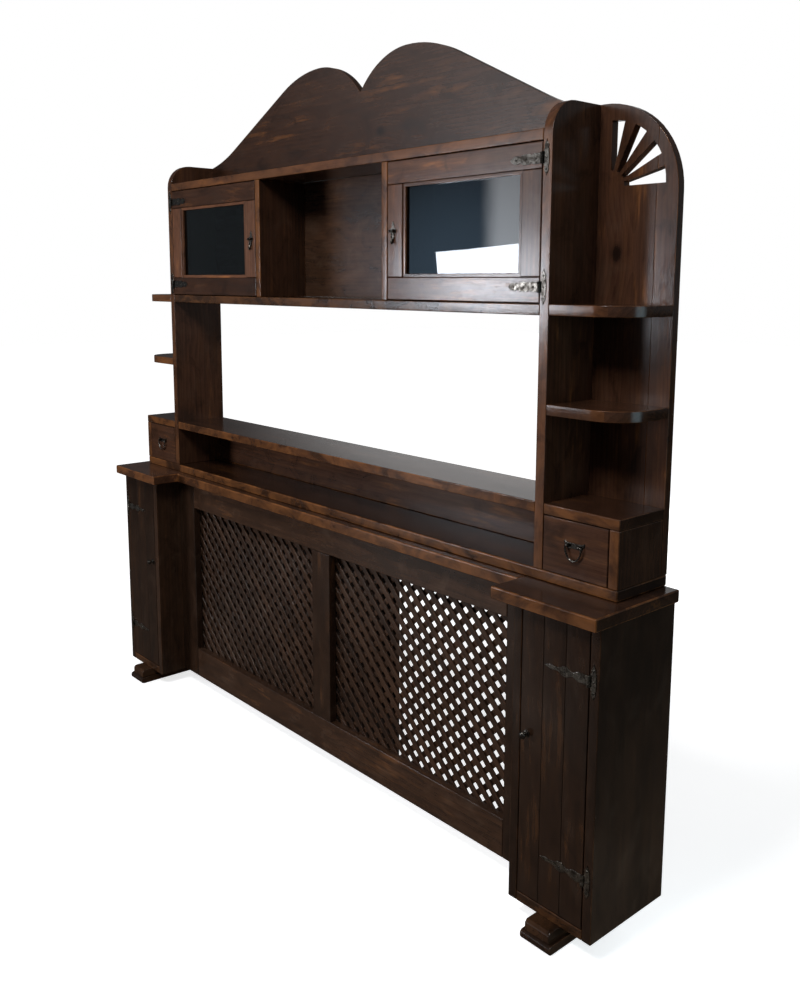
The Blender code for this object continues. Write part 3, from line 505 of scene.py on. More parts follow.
def shaded_pine(name, pieces, body, *nodes):
    """A darker copy of the pine: painted shade for the base and for the cabinet's bottom and back."""
    return pine(name, pieces, body, *nodes, material=SHADED_PINE)


def iron(name, pieces, body, *nodes):
    return fit(name, pieces, body, BLACK_IRON, *nodes)


def blacken(piece, share, wanted=lambda face: True, rest=0.0):
    """How much of its blacking an iron keeps, on the faces that are wanted and on the rest."""
    layer = piece.data.attributes.get("blacking") or piece.data.attributes.new("blacking", "FLOAT", "FACE")
    layer.data.foreach_set("value", [share if wanted(face) else rest for face in piece.data.polygons])
    return piece


# Straight boards: each takes the place of its solid

BOARDS = {                     # the run of the grain, the wear and the finish
    "centre_top": ("X", RUBBED, pine),
    "hutch_base_board": ("X", RUBBED, pine),
    "raised_shelf": ("X", RUBBED, pine),
    "shelf_fascia": ("X", RUBBED, pine),
    "cabinet_bottom": ("X", RUBBED, shaded_pine),
    "cabinet_top": ("X", EASED, pine),
    "cabinet_back": ("X", KEPT, shaded_pine),
    "cabinet_divider_left": ("Z", RUBBED, pine),
    "cabinet_divider_right": ("Z", RUBBED, pine),
}
for where in SIDES:
    BOARDS.update({
        "pedestal_" + where + "_outer_side": ("Z", KEPT, shaded_pine),
        "pedestal_" + where + "_inner_side": ("Z", KEPT, shaded_pine),
        "pedestal_" + where + "_bottom": ("X", RUBBED, shaded_pine),
        "pedestal_" + where + "_back": ("Z", KEPT, shaded_pine),
        "pedestal_" + where + "_top": ("X", RUBBED, pine),
        "drawer_case_" + where + "_side": ("Z", EDGED, pine),
        "drawer_case_" + where + "_top": ("X", EDGED, pine),
    })
SOFT_BOARDS = ("centre_top", "pedestal_left_top", "pedestal_right_top", "hutch_base_board")


def straight_boards():
    for node, (grain, wear, finish) in BOARDS.items():
        low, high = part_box(node)
        arris = SOFT_ARRIS if node in SOFT_BOARDS else ARRIS
        board = timber(low, high, grain, arris, wear, tone=TONE_AND_PAINTED_LIGHT.get(node))
        finish("pine_" + node, [board], "carcass", node)


def bay_back():
    """The bay's back is nailed up from upright planks."""
    low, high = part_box("bay_back_board")
    count = round((high.x - low.x) / BACK_PLANK)
    width = (high.x - low.x) / count
    planks = []
    for index in range(count):
        left = low.x + index * width
        right = left + width - JOINT
        planks.append(timber((left, low.y, low.z), (right, high.y, high.z), "Z", ARRIS / 2, DULL))
    shaded_pine("pine_bay_back", planks, "carcass", "bay_back_board")


# Base


def foot(where):
    """A runner of two tiers: a round-nosed base and a chamfered block on it."""
    low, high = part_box("foot_" + where)
    centre_x = (low.x + high.x) / 2
    seat = low.z + FOOT_BASE_HEIGHT
    close = 1 * MM             # an edge this near to a face belongs to it; the tiers overlap as much
    inset = Vector((FOOT_STEP, FOOT_STEP, 0))
    base = block(low, (high.x, high.y, seat))
    front = low.y + close
    round_over(base, lambda middle: middle.y < front and abs(middle.x - centre_x) < close, FOOT_NOSE, 5)
    upper = block((low.x + FOOT_STEP, low.y + FOOT_STEP, seat - close), high - inset)
    upper_front = front + FOOT_STEP
    round_over(upper, lambda middle: middle.y < upper_front and middle.z > high.z - close, FOOT_CHAMFER, 1)
    for tier in (base, upper):
        ease_sharp(tier, ARRIS)
        lay_grain(tier, "Y", tone=FOOT_TONE)
    shaded_pine("pine_foot_" + where, [base, upper], "carcass", "foot_" + where)


def lattice_frame():
    """Outer stiles stand full height; the rails and the centre stile are let in between them."""
    low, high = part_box("lattice_frame")
    front, back = low.y, high.y
    inner = (low.x + FRAME_STILE, high.x - FRAME_STILE)
    rails = (low.z + FRAME_BOTTOM_RAIL, high.z - FRAME_TOP_RAIL)
    half = FRAME_CENTRE_STILE / 2
    stile = {"grain": "Z", "wear": JOINTED, "tone": FRAME_STILE_TONE}
    rail = {"grain": "X", "wear": JOINTED, "tone": FRAME_RAIL_PAINTED_LIGHT}
    timbers = [
        timber(low, (inner[0] - JOINT, back, high.z), **stile),
        timber((inner[1] + JOINT, front, low.z), high, **stile),
        timber((inner[0], front, low.z), (inner[1], back, rails[0]), **rail),
        timber((inner[0], front, rails[1]), (inner[1], back, high.z), **rail),
        timber((-half, front, rails[0] + JOINT), (half, back, rails[1] - JOINT), **stile),
    ]
    shaded_pine("pine_lattice_frame", timbers, "carcass", "lattice_frame")


def lath_layer(node, lean):
    """Thin laths side by side at 45 degrees; lean 1 rises to the left, -1 to the right."""
    low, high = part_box(node)
    centre = (low + high) / 2
    size = high - low
    reach = (size.x + size.z) / sqrt(8)
    count = 2 * (int(reach / LATH_PITCH) + 1)
    step = Vector((LATH_PITCH, 0, lean * LATH_PITCH)) / sqrt(2)
    first = centre - step * (count - 1) / 2
    half = Vector((reach + LATH_PITCH, size.y / 2, LATH_WIDTH / 2))
    layer = block(-half, half)
    with editing(layer, "EDGE"):
        bpy.ops.mesh.select_all(action="SELECT")
        bpy.ops.mesh.bevel(offset=LATH_ARRIS, segments=1, affect="EDGES")
    layer.data.transform(Matrix.Translation(first) @ Matrix.Rotation(lean * pi / 4, 4, "Y"))
    row = layer.modifiers.new("laths", "ARRAY")
    row.count = count
    row.use_relative_offset = False
    row.use_constant_offset = True
    row.constant_offset_displace = step
    bpy.ops.object.modifier_apply(modifier=row.name)
    for point, normal in ((low, (-1, 0, 0)), (low, (0, 0, -1)), (high, (1, 0, 0)), (high, (0, 0, 1))):
        saw(layer, point, normal)
    mesh = layer.data
    points = np.array([vertex.co - first for vertex in mesh.vertices])
    across = points @ np.array(step) / LATH_PITCH
    number = np.rint(across / LATH_PITCH).astype(int)
    along = points @ np.array((1, 0, -lean)) / sqrt(2)
    chance = Random(node)
    lath = number.clip(0, count)
    logs = np.array([place_in_log(chance) for _ in range(count + 1)])
    wood = np.stack((along, across - number * LATH_PITCH, points[:, 1]), axis=1) + logs[lath]
    tones = np.array([chance.uniform(-1, 1) for _ in range(count + 1)], np.float32)
    wear = [LATH_WEAR * (SLANTING[0] < abs(face.normal.y) < SLANTING[1]) for face in mesh.polygons]
    mark(mesh, wood, tones[lath], wear)
    pine("pine_" + node, [layer], "carcass", node, material=LATH_PINE, slot="lath_pine")


# Hutch


def outlined_board(node, grain, thickness_axis):
    """A board with a curved outline, which its solid already gives with eased arrises."""
    piece = from_solid(node)
    pick_chamfers(piece, thickness_axis)
    lay_grain(piece, grain, EASED, TONE_AND_PAINTED_LIGHT.get(node))
    pine("pine_" + node, [piece], "carcass", node)


def corner_board(where, side):
    """Two upright planks edge to edge, pierced by the fan of rays."""
    node = "corner_board_" + where
    low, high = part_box(node)
    seam = low.x + CORNER_PLANK if side > 0 else high.x - CORNER_PLANK
    planks = []
    for beyond in (-1, 1):
        plank = from_solid(node)
        saw(plank, (seam + beyond * JOINT / 2, 0, 0), (-beyond, 0, 0))
        ease_sharp(plank, CORNER_ARRIS)
        lay_grain(plank, "Z", SPLIT, CORNER_TONE)
        planks.append(plank)
    pine("pine_" + node, planks, "carcass", node)


# Ironwork


def softened(outline, rounds=2):
    """Cuts the corners of an outline again and again, as a file would."""
    for _ in range(rounds):
        cut = []
        for one, two in zip(outline, outline[1:] + outline[:1]):
            cut.append((0.75 * one[0] + 0.25 * two[0], 0.75 * one[1] + 0.25 * two[1]))
            cut.append((0.25 * one[0] + 0.75 * two[0], 0.25 * one[1] + 0.75 * two[1]))
        outline = cut
    return outline


def front_plate(outline, back, blacking=0.0):
    """A flat plate with its outline in X and Z and a rounded rim, facing the front."""
    bpy.ops.mesh.primitive_circle_add(vertices=len(outline), fill_type="NGON")
    plate = bpy.context.object
    for vertex, (x, z) in zip(plate.data.vertices, outline):
        vertex.co = (x, back, z)
    with editing(plate) as cage:
        bpy.ops.mesh.select_all(action="SELECT")
        bpy.ops.mesh.extrude_region_move(TRANSFORM_OT_translate={"value": (0, -IRON, 0)})
        bpy.ops.mesh.select_all(action="SELECT")
        bpy.ops.mesh.normals_make_consistent(inside=False)
        pick_faces(cage, lambda face: face.normal.y < -FACING)
        bpy.ops.mesh.region_to_loop()
        bpy.ops.mesh.bevel(offset=IRON / 3, segments=2, affect="EDGES")
    return blacken(plate, RIM_BLACKING, lambda face: face.normal.y > -FACING, blacking)


def upright_rod(centre, radius, height):
    """A short round rod on end with softened rims."""
    bpy.ops.mesh.primitive_cylinder_add(vertices=20, radius=radius, depth=height, location=centre)
    bpy.ops.object.transform_apply()
    rod = bpy.context.object
    ease_sharp(rod, min(radius, height) / 6)
    return rod


def turned(profile, steps=24):
    """A profile of (radius, height) from axis to axis, turned about Z."""
    bpy.ops.mesh.primitive_circle_add(vertices=len(profile))
    piece = bpy.context.object
    for vertex, (radius, height) in zip(piece.data.vertices, profile):
        vertex.co = (radius, 0, height)
    with editing(piece, "EDGE") as cage:
        pick_edges(cage, lambda middle: middle.x < WELD / 100)
        bpy.ops.mesh.delete(type="EDGE")
        bpy.ops.mesh.select_all(action="SELECT")
        bpy.ops.mesh.spin(steps=steps, angle=2 * pi, center=(0, 0, 0), axis=(0, 0, 1))
        bpy.ops.mesh.select_all(action="SELECT")
        bpy.ops.mesh.remove_doubles(threshold=WELD / 2)
        bpy.ops.mesh.normals_make_consistent(inside=False)
    return piece


def screw_head():
    """A round slotted screw head at the origin, facing the front."""
    dome = 0.35 * SCREW_RADIUS
    profile = [(0, SCREW_HEIGHT), (SCREW_RADIUS - dome, SCREW_HEIGHT), (SCREW_RADIUS, SCREW_HEIGHT - dome),
               (SCREW_RADIUS, 0), (0, 0)]
    head = turned(profile, 14)
    half = SCREW_SLOT / 2
    with editing(head) as cage:
        for edge in (-half, half):
            bpy.ops.mesh.select_all(action="SELECT")
            bpy.ops.mesh.bisect(plane_co=(edge, 0, 0), plane_no=(1, 0, 0))
        pick_faces(cage, lambda face: face.normal.z > FACING and abs(face.calc_center_median().x) < half)
        bpy.ops.mesh.extrude_region_move(TRANSFORM_OT_translate={"value": (0, 0, -SCREW_HEIGHT / 2)})
    head.data.transform(Matrix.Rotation(pi / 2, 4, "X"))
    return blacken(head, RIM_BLACKING)


SCREW = screw_head()


def screws(places, front):
    """Copies of the screw head at (x, z) places, each turned its own way."""
    heads = []
    first_turn, next_turn = SCREW_TURNS
    for index, (x, z) in enumerate(places):
        turn = Matrix.Rotation(first_turn + next_turn * index, 4, "Y")
        head = new_object("screw", SCREW.data.copy())
        head.data.transform(Matrix.Translation((x, front, z)) @ turn)
        heads.append(head)
    return heads


def hinge_leaf(node, pin_x, side, z, front, blacking=0.0):
    """The fixed half: a spear-ended leaf with tongues to the two outer knuckles."""
    inner = BARREL_RADIUS
    middle = (inner + LEAF_WIDTH) / 2
    half = LEAF_HEIGHT / 2
    tongue = (KNUCKLE_HEIGHT / 2 + 2 * SLIT, BARREL_HEIGHT / 2 - SLIT)
    body = BARREL_HEIGHT / 2 + LEAF_WIDTH / 4
    waist = LEAF_WIDTH / 5
    upper = [(inner, tongue[0]), (0, tongue[0]), (0, tongue[1]), (inner, tongue[1]), (inner, body),
             (middle - waist, body + waist), (inner, body + 2 * waist), (middle - waist / 4, half - waist),
             (middle, half + waist / 2), (middle + waist / 4, half - waist), (LEAF_WIDTH, body + 2 * waist),
             (middle + waist, body + waist), (LEAF_WIDTH, body)]
    outline = softened(upper + [(u, -v) for u, v in reversed(upper)])
    leaf = front_plate([(pin_x + side * u, z + v) for u, v in outline], front, blacking)
    knuckle = (BARREL_HEIGHT - KNUCKLE_HEIGHT) / 2 - SLIT
    pin_y = front - BARREL_RADIUS
    reach = (BARREL_HEIGHT - knuckle) / 2
    rods = [upright_rod((pin_x, pin_y, z + rise), BARREL_RADIUS, knuckle) for rise in (-reach, reach)]
    knuckles = [blacken(rod, blacking) for rod in rods]
    places = [(pin_x + side * middle, z + v) for v in (-body - 2 * waist, 0, body + 2 * waist)]
    iron("iron_" + node, [leaf, *knuckles, *screws(places, front - IRON)], "carcass", node)


def hinge_strap(pin_x, side, z, front, length, shape, screw_shares, blacking=0.0):
    """The moving half: a strap of scrolled lobes with a drawn-out tip, and the middle knuckle."""
    neck = KNUCKLE_HEIGHT / 2 - 2 * SLIT
    start = BARREL_RADIUS + 4 * SLIT
    upper = [(0, neck), (start, neck)]
    upper += [(start + share * (length - start), rise * STRAP_HEIGHT / 2) for share, rise in shape]
    outline = softened(upper + [(length, 0)] + [(u, -v) for u, v in reversed(upper)])
    strap = front_plate([(pin_x - side * u, z + v) for u, v in outline], front, blacking)
    knuckle = upright_rod((pin_x, front - BARREL_RADIUS, z), BARREL_RADIUS, KNUCKLE_HEIGHT)
    places = [(pin_x - side * (start + share * (length - start)), z) for share in screw_shares]
    return [strap, blacken(knuckle, blacking), *screws(places, front - IRON)]


def ears(x, z, spacing, front):
    """Two rounded lugs that carry a bar."""
    lugs = []
    close = 0.1 * MM           # an edge this near to a face belongs to it
    tip = front - EAR_REACH
    for end in (-1, 1):
        middle = x + end * spacing / 2
        lug = block((middle - EAR_THICKNESS / 2, tip, z - EAR_HEIGHT / 2),
                    (middle + EAR_THICKNESS / 2, front, z + EAR_HEIGHT / 2))
        round_over(lug, lambda point: point.y < tip + close and abs(point.x - middle) < close,
                   0.45 * EAR_HEIGHT, 4)
        ease_sharp(lug, EAR_ARRIS)
        lugs.append(blacken(lug, PULL_BLACKING))
    return lugs


def drop(where, x, y, z):
    """A pear-shaped drop with a collar, on a cross bar."""
    bar = upright_rod((0, 0, 0), DROP_BAR_RADIUS, 2 * EAR_THICKNESS + 2 * DROP_RADIUS)
    bar.data.transform(Matrix.Translation((x, y, z)) @ Matrix.Rotation(pi / 2, 4, "Y"))
    shape = ((0, 0.05), (0.30, 0.04), (0.36, -0.05), (0.36, -0.30), (0.62, -0.34), (0.62, -0.39),
             (0.40, -0.43), (0.44, -0.52), (0.70, -0.64), (0.95, -0.76), (1.0, -0.83), (0.90, -0.90),
             (0.60, -0.94), (0.34, -0.955), (0.34, -0.98), (0.2, -1.0), (0, -1.0))
    pear = turned([(radius * DROP_RADIUS, height * DROP_LENGTH) for radius, height in shape], 20)
    pear.data.transform(Matrix.Translation((x, y, z)))
    irons = [blacken(bar, PULL_BLACKING), blacken(pear, PULL_BLACKING)]
    iron("iron_drop_pull_" + where, irons, "drop_pull_" + where, "drop_pull_" + where)


def bent_wire(name, points, radius):
    """A round wire along a path, made a mesh."""
    curve = bpy.data.curves.new(name, "CURVE")
    curve.dimensions = "3D"
    curve.bevel_depth = radius
    curve.bevel_resolution = 3
    curve.use_fill_caps = True
    spline = curve.splines.new("POLY")
    spline.points.add(len(points) - 1)
    for point, place in zip(spline.points, points):
        point.co = (*place, 1)
    wire = new_object(name, curve)
    bpy.ops.object.select_all(action="DESELECT")
    wire.select_set(True)
    bpy.context.view_layer.objects.active = wire
    bpy.ops.object.convert(target="MESH")
    with editing(wire, "VERT"):
        bpy.ops.mesh.select_all(action="SELECT")
        bpy.ops.mesh.remove_doubles(threshold=WELD)
        bpy.ops.mesh.normals_make_consistent(inside=False)
    return wire


def bail(where, x, y, z):
    """A bowed wire handle, its ends turned in to the ears."""
    bend_steps, bow_steps = 5, 28
    leg = BAIL_WIDTH / 2
    tip = leg - BAIL_BEND - 1.5 * EAR_THICKNESS
    corner = [(leg - BAIL_BEND + BAIL_BEND * sin(turn), -BAIL_BEND + BAIL_BEND * cos(turn))
              for turn in (radians(90 / bend_steps * i) for i in range(bend_steps + 1))]
    bow = [(leg * cos(turn), -BAIL_BEND - (BAIL_DROP - BAIL_BEND) * sin(turn))
           for turn in (pi * i / bow_steps for i in range(1, bow_steps))]
    half = [(tip, 0), *corner]
    route = half + bow + [(-u, v) for u, v in reversed(half)]
    wire = bent_wire("bail_wire", [(x + u, y, z + v) for u, v in route], BAIL_RADIUS)
    iron("iron_bail_" + where, [blacken(wire, PULL_BLACKING)], "bail_" + where, "drawer_" + where + "_bail")


# Doors and drawers


def span(side, near, far):
    """A span on one side of the unit, near and far from its middle, as its lower and upper X."""
    return sorted((side * near, side * far))


def plank_door(where, side):
    """Grooved planks on two ledges, with strap hinges and a turned knob."""
    node = "pedestal_" + where + "_door"
    body = "pedestal_door_" + where
    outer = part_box("pedestal_" + where + "_outer_side")
    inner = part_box("pedestal_" + where + "_inner_side")
    near = max(abs(inner[0].x), abs(inner[1].x)) + DOOR_GAP
    far = min(abs(outer[0].x), abs(outer[1].x)) - DOOR_GAP
    left, right = span(side, near, far)
    low_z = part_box("pedestal_" + where + "_bottom")[1].z + DOOR_GAP
    high_z = outer[1].z - DOOR_GAP
    front = outer[0].y
    back = front + PLANK_DOOR
    width = (right - left) / PLANKS_PER_DOOR
    timbers = []
    for index in range(PLANKS_PER_DOOR):
        x = left + index * width
        timbers.append(timber((x, front, low_z), (x + width, back, high_z), "Z", PLANK_BEVEL,
                              GROOVED, 1, PLANK_TONE))
    levels = {"lower": low_z + PLANK_HINGE_INSET, "upper": high_z - PLANK_HINGE_INSET}
    for level in levels.values():
        timbers.append(timber((left + LEDGE_INSET, back, level - LEDGE_HEIGHT / 2),
                              (right - LEDGE_INSET, back + LEDGE_THICKNESS, level + LEDGE_HEIGHT / 2), "X"))
    shaded_pine("pine_" + node, timbers, body, node)
    pin_x = side * (far + DOOR_GAP / 2)
    irons = []
    for name, level in levels.items():
        hinge_leaf("hinge_plank_door_" + where + "_" + name, pin_x, side, level, front)
        irons += hinge_strap(pin_x, side, level, front, PLANK_STRAP, PLANK_STRAP_SHAPE, PLANK_STRAP_SCREWS)
    shape = ((0, 1.0), (0.35, 0.99), (0.70, 0.95), (0.95, 0.84), (1.0, 0.72), (0.92, 0.62), (0.6, 0.52),
             (0.40, 0.42), (0.40, 0.20), (0.55, 0.14), (0.95, 0.11), (1.0, 0.06), (1.0, 0), (0, 0))
    knob = turned([(radius * KNOB_RADIUS, height * KNOB_LENGTH) for radius, height in shape])
    place = Matrix.Translation((side * (near + KNOB_INSET), front, (low_z + high_z) / 2 + KNOB_RISE))
    knob.data.transform(place @ Matrix.Rotation(pi / 2, 4, "X"))
    iron("iron_" + node, [*irons, blacken(knob, PULL_BLACKING)], body)


def glazed_door(where, side):
    """Full-width rails with stiles between; a sunk bead holds the pane; strap hinges and a drop pull."""
    node = "glazed_door_" + where
    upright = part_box("upright_" + where)
    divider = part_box("cabinet_divider_" + where)
    near = max(abs(divider[0].x), abs(divider[1].x)) + DOOR_GAP
    far = min(abs(upright[0].x), abs(upright[1].x)) - DOOR_GAP
    left, right = span(side, near, far)
    low_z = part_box("cabinet_bottom")[1].z + DOOR_GAP
    high_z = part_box("cabinet_top")[0].z - DOOR_GAP
    front = divider[0].y
    back = front + GLAZED_DOOR
    wide = GLAZED_STILE - BEAD_WIDTH
    stile = {"grain": "Z", "wear": JOINTED, "tone": DOOR_STILE_TONE_AND_PAINTED_LIGHT[where]}
    rail = {"grain": "X", "wear": JOINTED, "tone": DOOR_RAIL_PAINTED_LIGHT[where]}
    timbers = [
        timber((left, front, low_z), (right, back, low_z + wide), **rail),
        timber((left, front, high_z - wide), (right, back, high_z), **rail),
        timber((left, front, low_z + wide + JOINT), (left + wide, back, high_z - wide - JOINT), **stile),
        timber((right - wide, front, low_z + wide + JOINT), (right, back, high_z - wide - JOINT), **stile),
    ]
    behind_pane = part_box("pane_" + where)[1].y + SLIT
    for face in (front + BEAD_STEP, behind_pane):
        # The beads take the stiles' tone, which on the left door lightens them as painted light for the light
        # caught in the rebate.
        timbers += bead(left + wide, right - wide, low_z + wide, high_z - wide, face, DOOR_STILE_TONE_AND_PAINTED_LIGHT[where])
    pine("pine_" + node, timbers, node, node)
    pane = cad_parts["pane_" + where]
    pane.data.materials.clear()
    pane.data.materials.append(GLASS)
    pin_x = side * (far + DOOR_GAP / 2)
    irons = []
    levels = {"lower": low_z + GLAZED_HINGE_INSET, "upper": high_z - GLAZED_HINGE_INSET}
    for name, level in levels.items():
        hinge_leaf("hinge_glazed_door_" + where + "_" + name, pin_x, side, level, front, GLAZED_BLACKING)
        irons += hinge_strap(pin_x, side, level, front, GLAZED_STRAP, GLAZED_STRAP_SHAPE, GLAZED_STRAP_SCREWS,
                             GLAZED_BLACKING)
    middle = (low_z + high_z) / 2
    pull_x = side * (near + PULL_INSET)
    spread, tall = DROP_PLATE_WIDTH / 2, DROP_PLATE_HEIGHT / 2
    right_half = [(0.15, 1.1), (0.30, 0.80), (0.55, 0.72), (0.35, 0.55), (0.60, 0.38), (1.05, 0.30),
                  (1.1, 0.0), (1.05, -0.25), (0.55, -0.32), (0.35, -0.50), (0.62, -0.66), (0.35, -0.78),
                  (0.15, -1.1)]
    outline = softened(right_half + [(-u, v) for u, v in reversed(right_half)])
    plate = front_plate([(pull_x + u * spread, middle + v * tall) for u, v in outline], front)
    irons.append(blacken(plate, PULL_BLACKING))
    irons += ears(pull_x, middle, 2 * DROP_RADIUS + EAR_THICKNESS, front)
    iron("iron_" + node, irons, node)
    drop(where, pull_x, front - EAR_REACH + EAR_HEIGHT / 2, middle)


def bead(left, right, low_z, high_z, front, tone):
    """Four thin strips mitred round an opening."""
    width = BEAD_WIDTH
    back = front + BEAD_DEPTH
    strips = []
    for low, high, grain, corners in (
        ((left, front, low_z), (right, back, low_z + width), "X", ((left, -1, 1), (right, 1, 1))),
        ((left, front, high_z - width), (right, back, high_z), "X", ((left, -1, -1), (right, 1, -1))),
        ((left, front, low_z), (left + width, back, high_z), "Z", ((left, 1, -1), (left, 1, 1))),
        ((right - width, front, low_z), (right, back, high_z), "Z", ((right, -1, -1), (right, -1, 1))),
    ):
        strip = timber(low, high, grain, BEAD_ARRIS, EASED, tone=tone)
        for x, lean_x, lean_z in corners:
            z = (low_z if lean_z > 0 else high_z) if grain == "X" else (low_z if lean_z < 0 else high_z)
            saw(strip, (x, 0, z), (lean_x, 0, lean_z))
        strips.append(strip)
    return strips


def drawer(where):
    """A front on an open box, with a winged plate and ears for the bail."""
    node = "drawer_" + where
    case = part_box("drawer_case_" + where + "_side")
    bail_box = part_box(node + "_bail")
    low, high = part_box(node)
    front = case[0].y
    wall = front + DRAWER_FRONT
    left, right, back = low.x + DRAWER_WALL, high.x - DRAWER_WALL, high.y - DRAWER_WALL
    timbers = [
        # The front's arrises take the grooves' grime, as painted shade that widens the dark gap round the
        # drawer.
        timber((low.x, front, low.z), (high.x, wall, high.z), "X", wear=GROOVED, tone=DRAWER_TONE),
        timber((low.x, wall, low.z), (left, high.y, high.z), "Y", ARRIS / 2),
        timber((right, wall, low.z), (high.x, high.y, high.z), "Y", ARRIS / 2),
        timber((left, back, low.z), (right, high.y, high.z), "X", ARRIS / 2),
        timber((left, wall, low.z), (right, back, low.z + DRAWER_FLOOR), "X", ARRIS / 2),
    ]
    pine("pine_" + node, timbers, node, node)
    middle = (low + high) / 2
    bar_z = bail_box[1].z - BAIL_RADIUS
    wing, tall = BAIL_PLATE_WIDTH / 2, BAIL_PLATE_HEIGHT / 2
    right_half = [(0.0, 0.7), (0.70, 0.8), (0.85, 1.0), (1.0, 1.4), (0.95, 0.4), (0.75, -0.8),
                  (0.55, -1.0), (0.0, -0.7)]
    outline = softened(right_half + [(-u, v) for u, v in reversed(right_half[1:-1])])
    spacing = BAIL_WIDTH - 2 * BAIL_BEND - EAR_THICKNESS - 2 * SLIT
    plate = front_plate([(middle.x + u * wing, bar_z + v * tall) for u, v in outline], front)
    irons = [blacken(plate, PULL_BLACKING)]
    irons += ears(middle.x, bar_z, spacing, front)
    iron("iron_" + node, irons, node)
    bail(where, middle.x, front - EAR_REACH + EAR_HEIGHT / 2, bar_z)


def build():
    straight_boards()
    bay_back()
    lattice_frame()
    outlined_board("crest", "X", 1)
    for where, side in SIDES.items():
        foot(where)
        lath_layer("lattice_" + where + "_front_laths", 1)
        lath_layer("lattice_" + where + "_back_laths", -1)
        outlined_board("upright_" + where, "Z", 0)
        outlined_board("corner_shelf_" + where + "_lower", "X", 2)
        outlined_board("corner_shelf_" + where + "_upper", "X", 2)
        corner_board(where, side)
        plank_door(where, side)
        glazed_door(where, side)
        drawer(where)
    bpy.data.objects.remove(SCREW)


build()


# Floor, light and camera


def floor():
    """A matt studio floor that takes the unit's shadow: pale to the eye, running out into white, and in the
    unit's lacquer a dull brown, painted darker further out as shade and with one painted band of daylight, so
    that the dark wood isn't veiled."""
    bpy.ops.mesh.primitive_plane_add(size=40, location=(0, 0, 0))
    plane = bpy.context.object
    plane.name = "studio_floor"
    material, tree, shader = new_material("matt_white_floor")
    speck_width = 60 * MM
    across_band, band_middle = (0.685, -0.729, 0), 0.41
    place = add(tree, "TexCoord").outputs["Object"]
    speck = add(tree, "TexNoise", into={"Vector": place, "Scale": 1 / speck_width, "Detail": 2.0})
    pale = add(tree, "MixRGB", speck, colour("#f4f4f4"), colour("#fafafa"))
    # Painted light: a band of daylight on the floor, from the doorway towards the unit, seen in the lacquer
    # and in bounced light.
    across = add(tree, "VectorMath", place, across_band, **ALONG).outputs["Value"]
    off_band = add(tree, "Math", across, band_middle, operation="SUBTRACT")
    band_side = add(tree, "Math", off_band, operation="ABSOLUTE")
    in_band = add(tree, "MapRange", band_side, 0.25, 0.65, 1.0, 0.0, **SMOOTH)
    out_front = add(tree, "VectorMath", place, (0, -1, 0), **ALONG).outputs["Value"]
    before_unit = add(tree, "MapRange", out_front, 0.7, 1.2)
    painted_daylight = add(tree, "Math", in_band, before_unit, **TIMES)
    # Painted shade: the floor darkens further out in front of the unit.
    further_out = add(tree, "MapRange", out_front, 0.5, 1.8)
    painted_shade = add(tree, "MixRGB", further_out, colour("#564c43"), colour("#241f1b"))
    dull = add(tree, "MixRGB", painted_daylight, painted_shade, colour("#a9a5a0"))
    seen = add(tree, "LightPath").outputs["Is Camera Ray"]
    shown = add(tree, "MixRGB", seen, dull, pale)
    distance = add(tree, "VectorMath", place, operation="LENGTH").outputs["Value"]
    run_out = add(tree, "MapRange", distance, 1.5, 3.5, 0.72, 1.0, **SMOOTH)
    glow = add(tree, "Math", seen, run_out, **TIMES)
    feed(tree, shader, {
        "Base Color": shown, "Roughness": 0.9, "Emission Color": colour("#ffffff"), "Emission Strength": glow,
    })
    plane.data.materials.append(material)


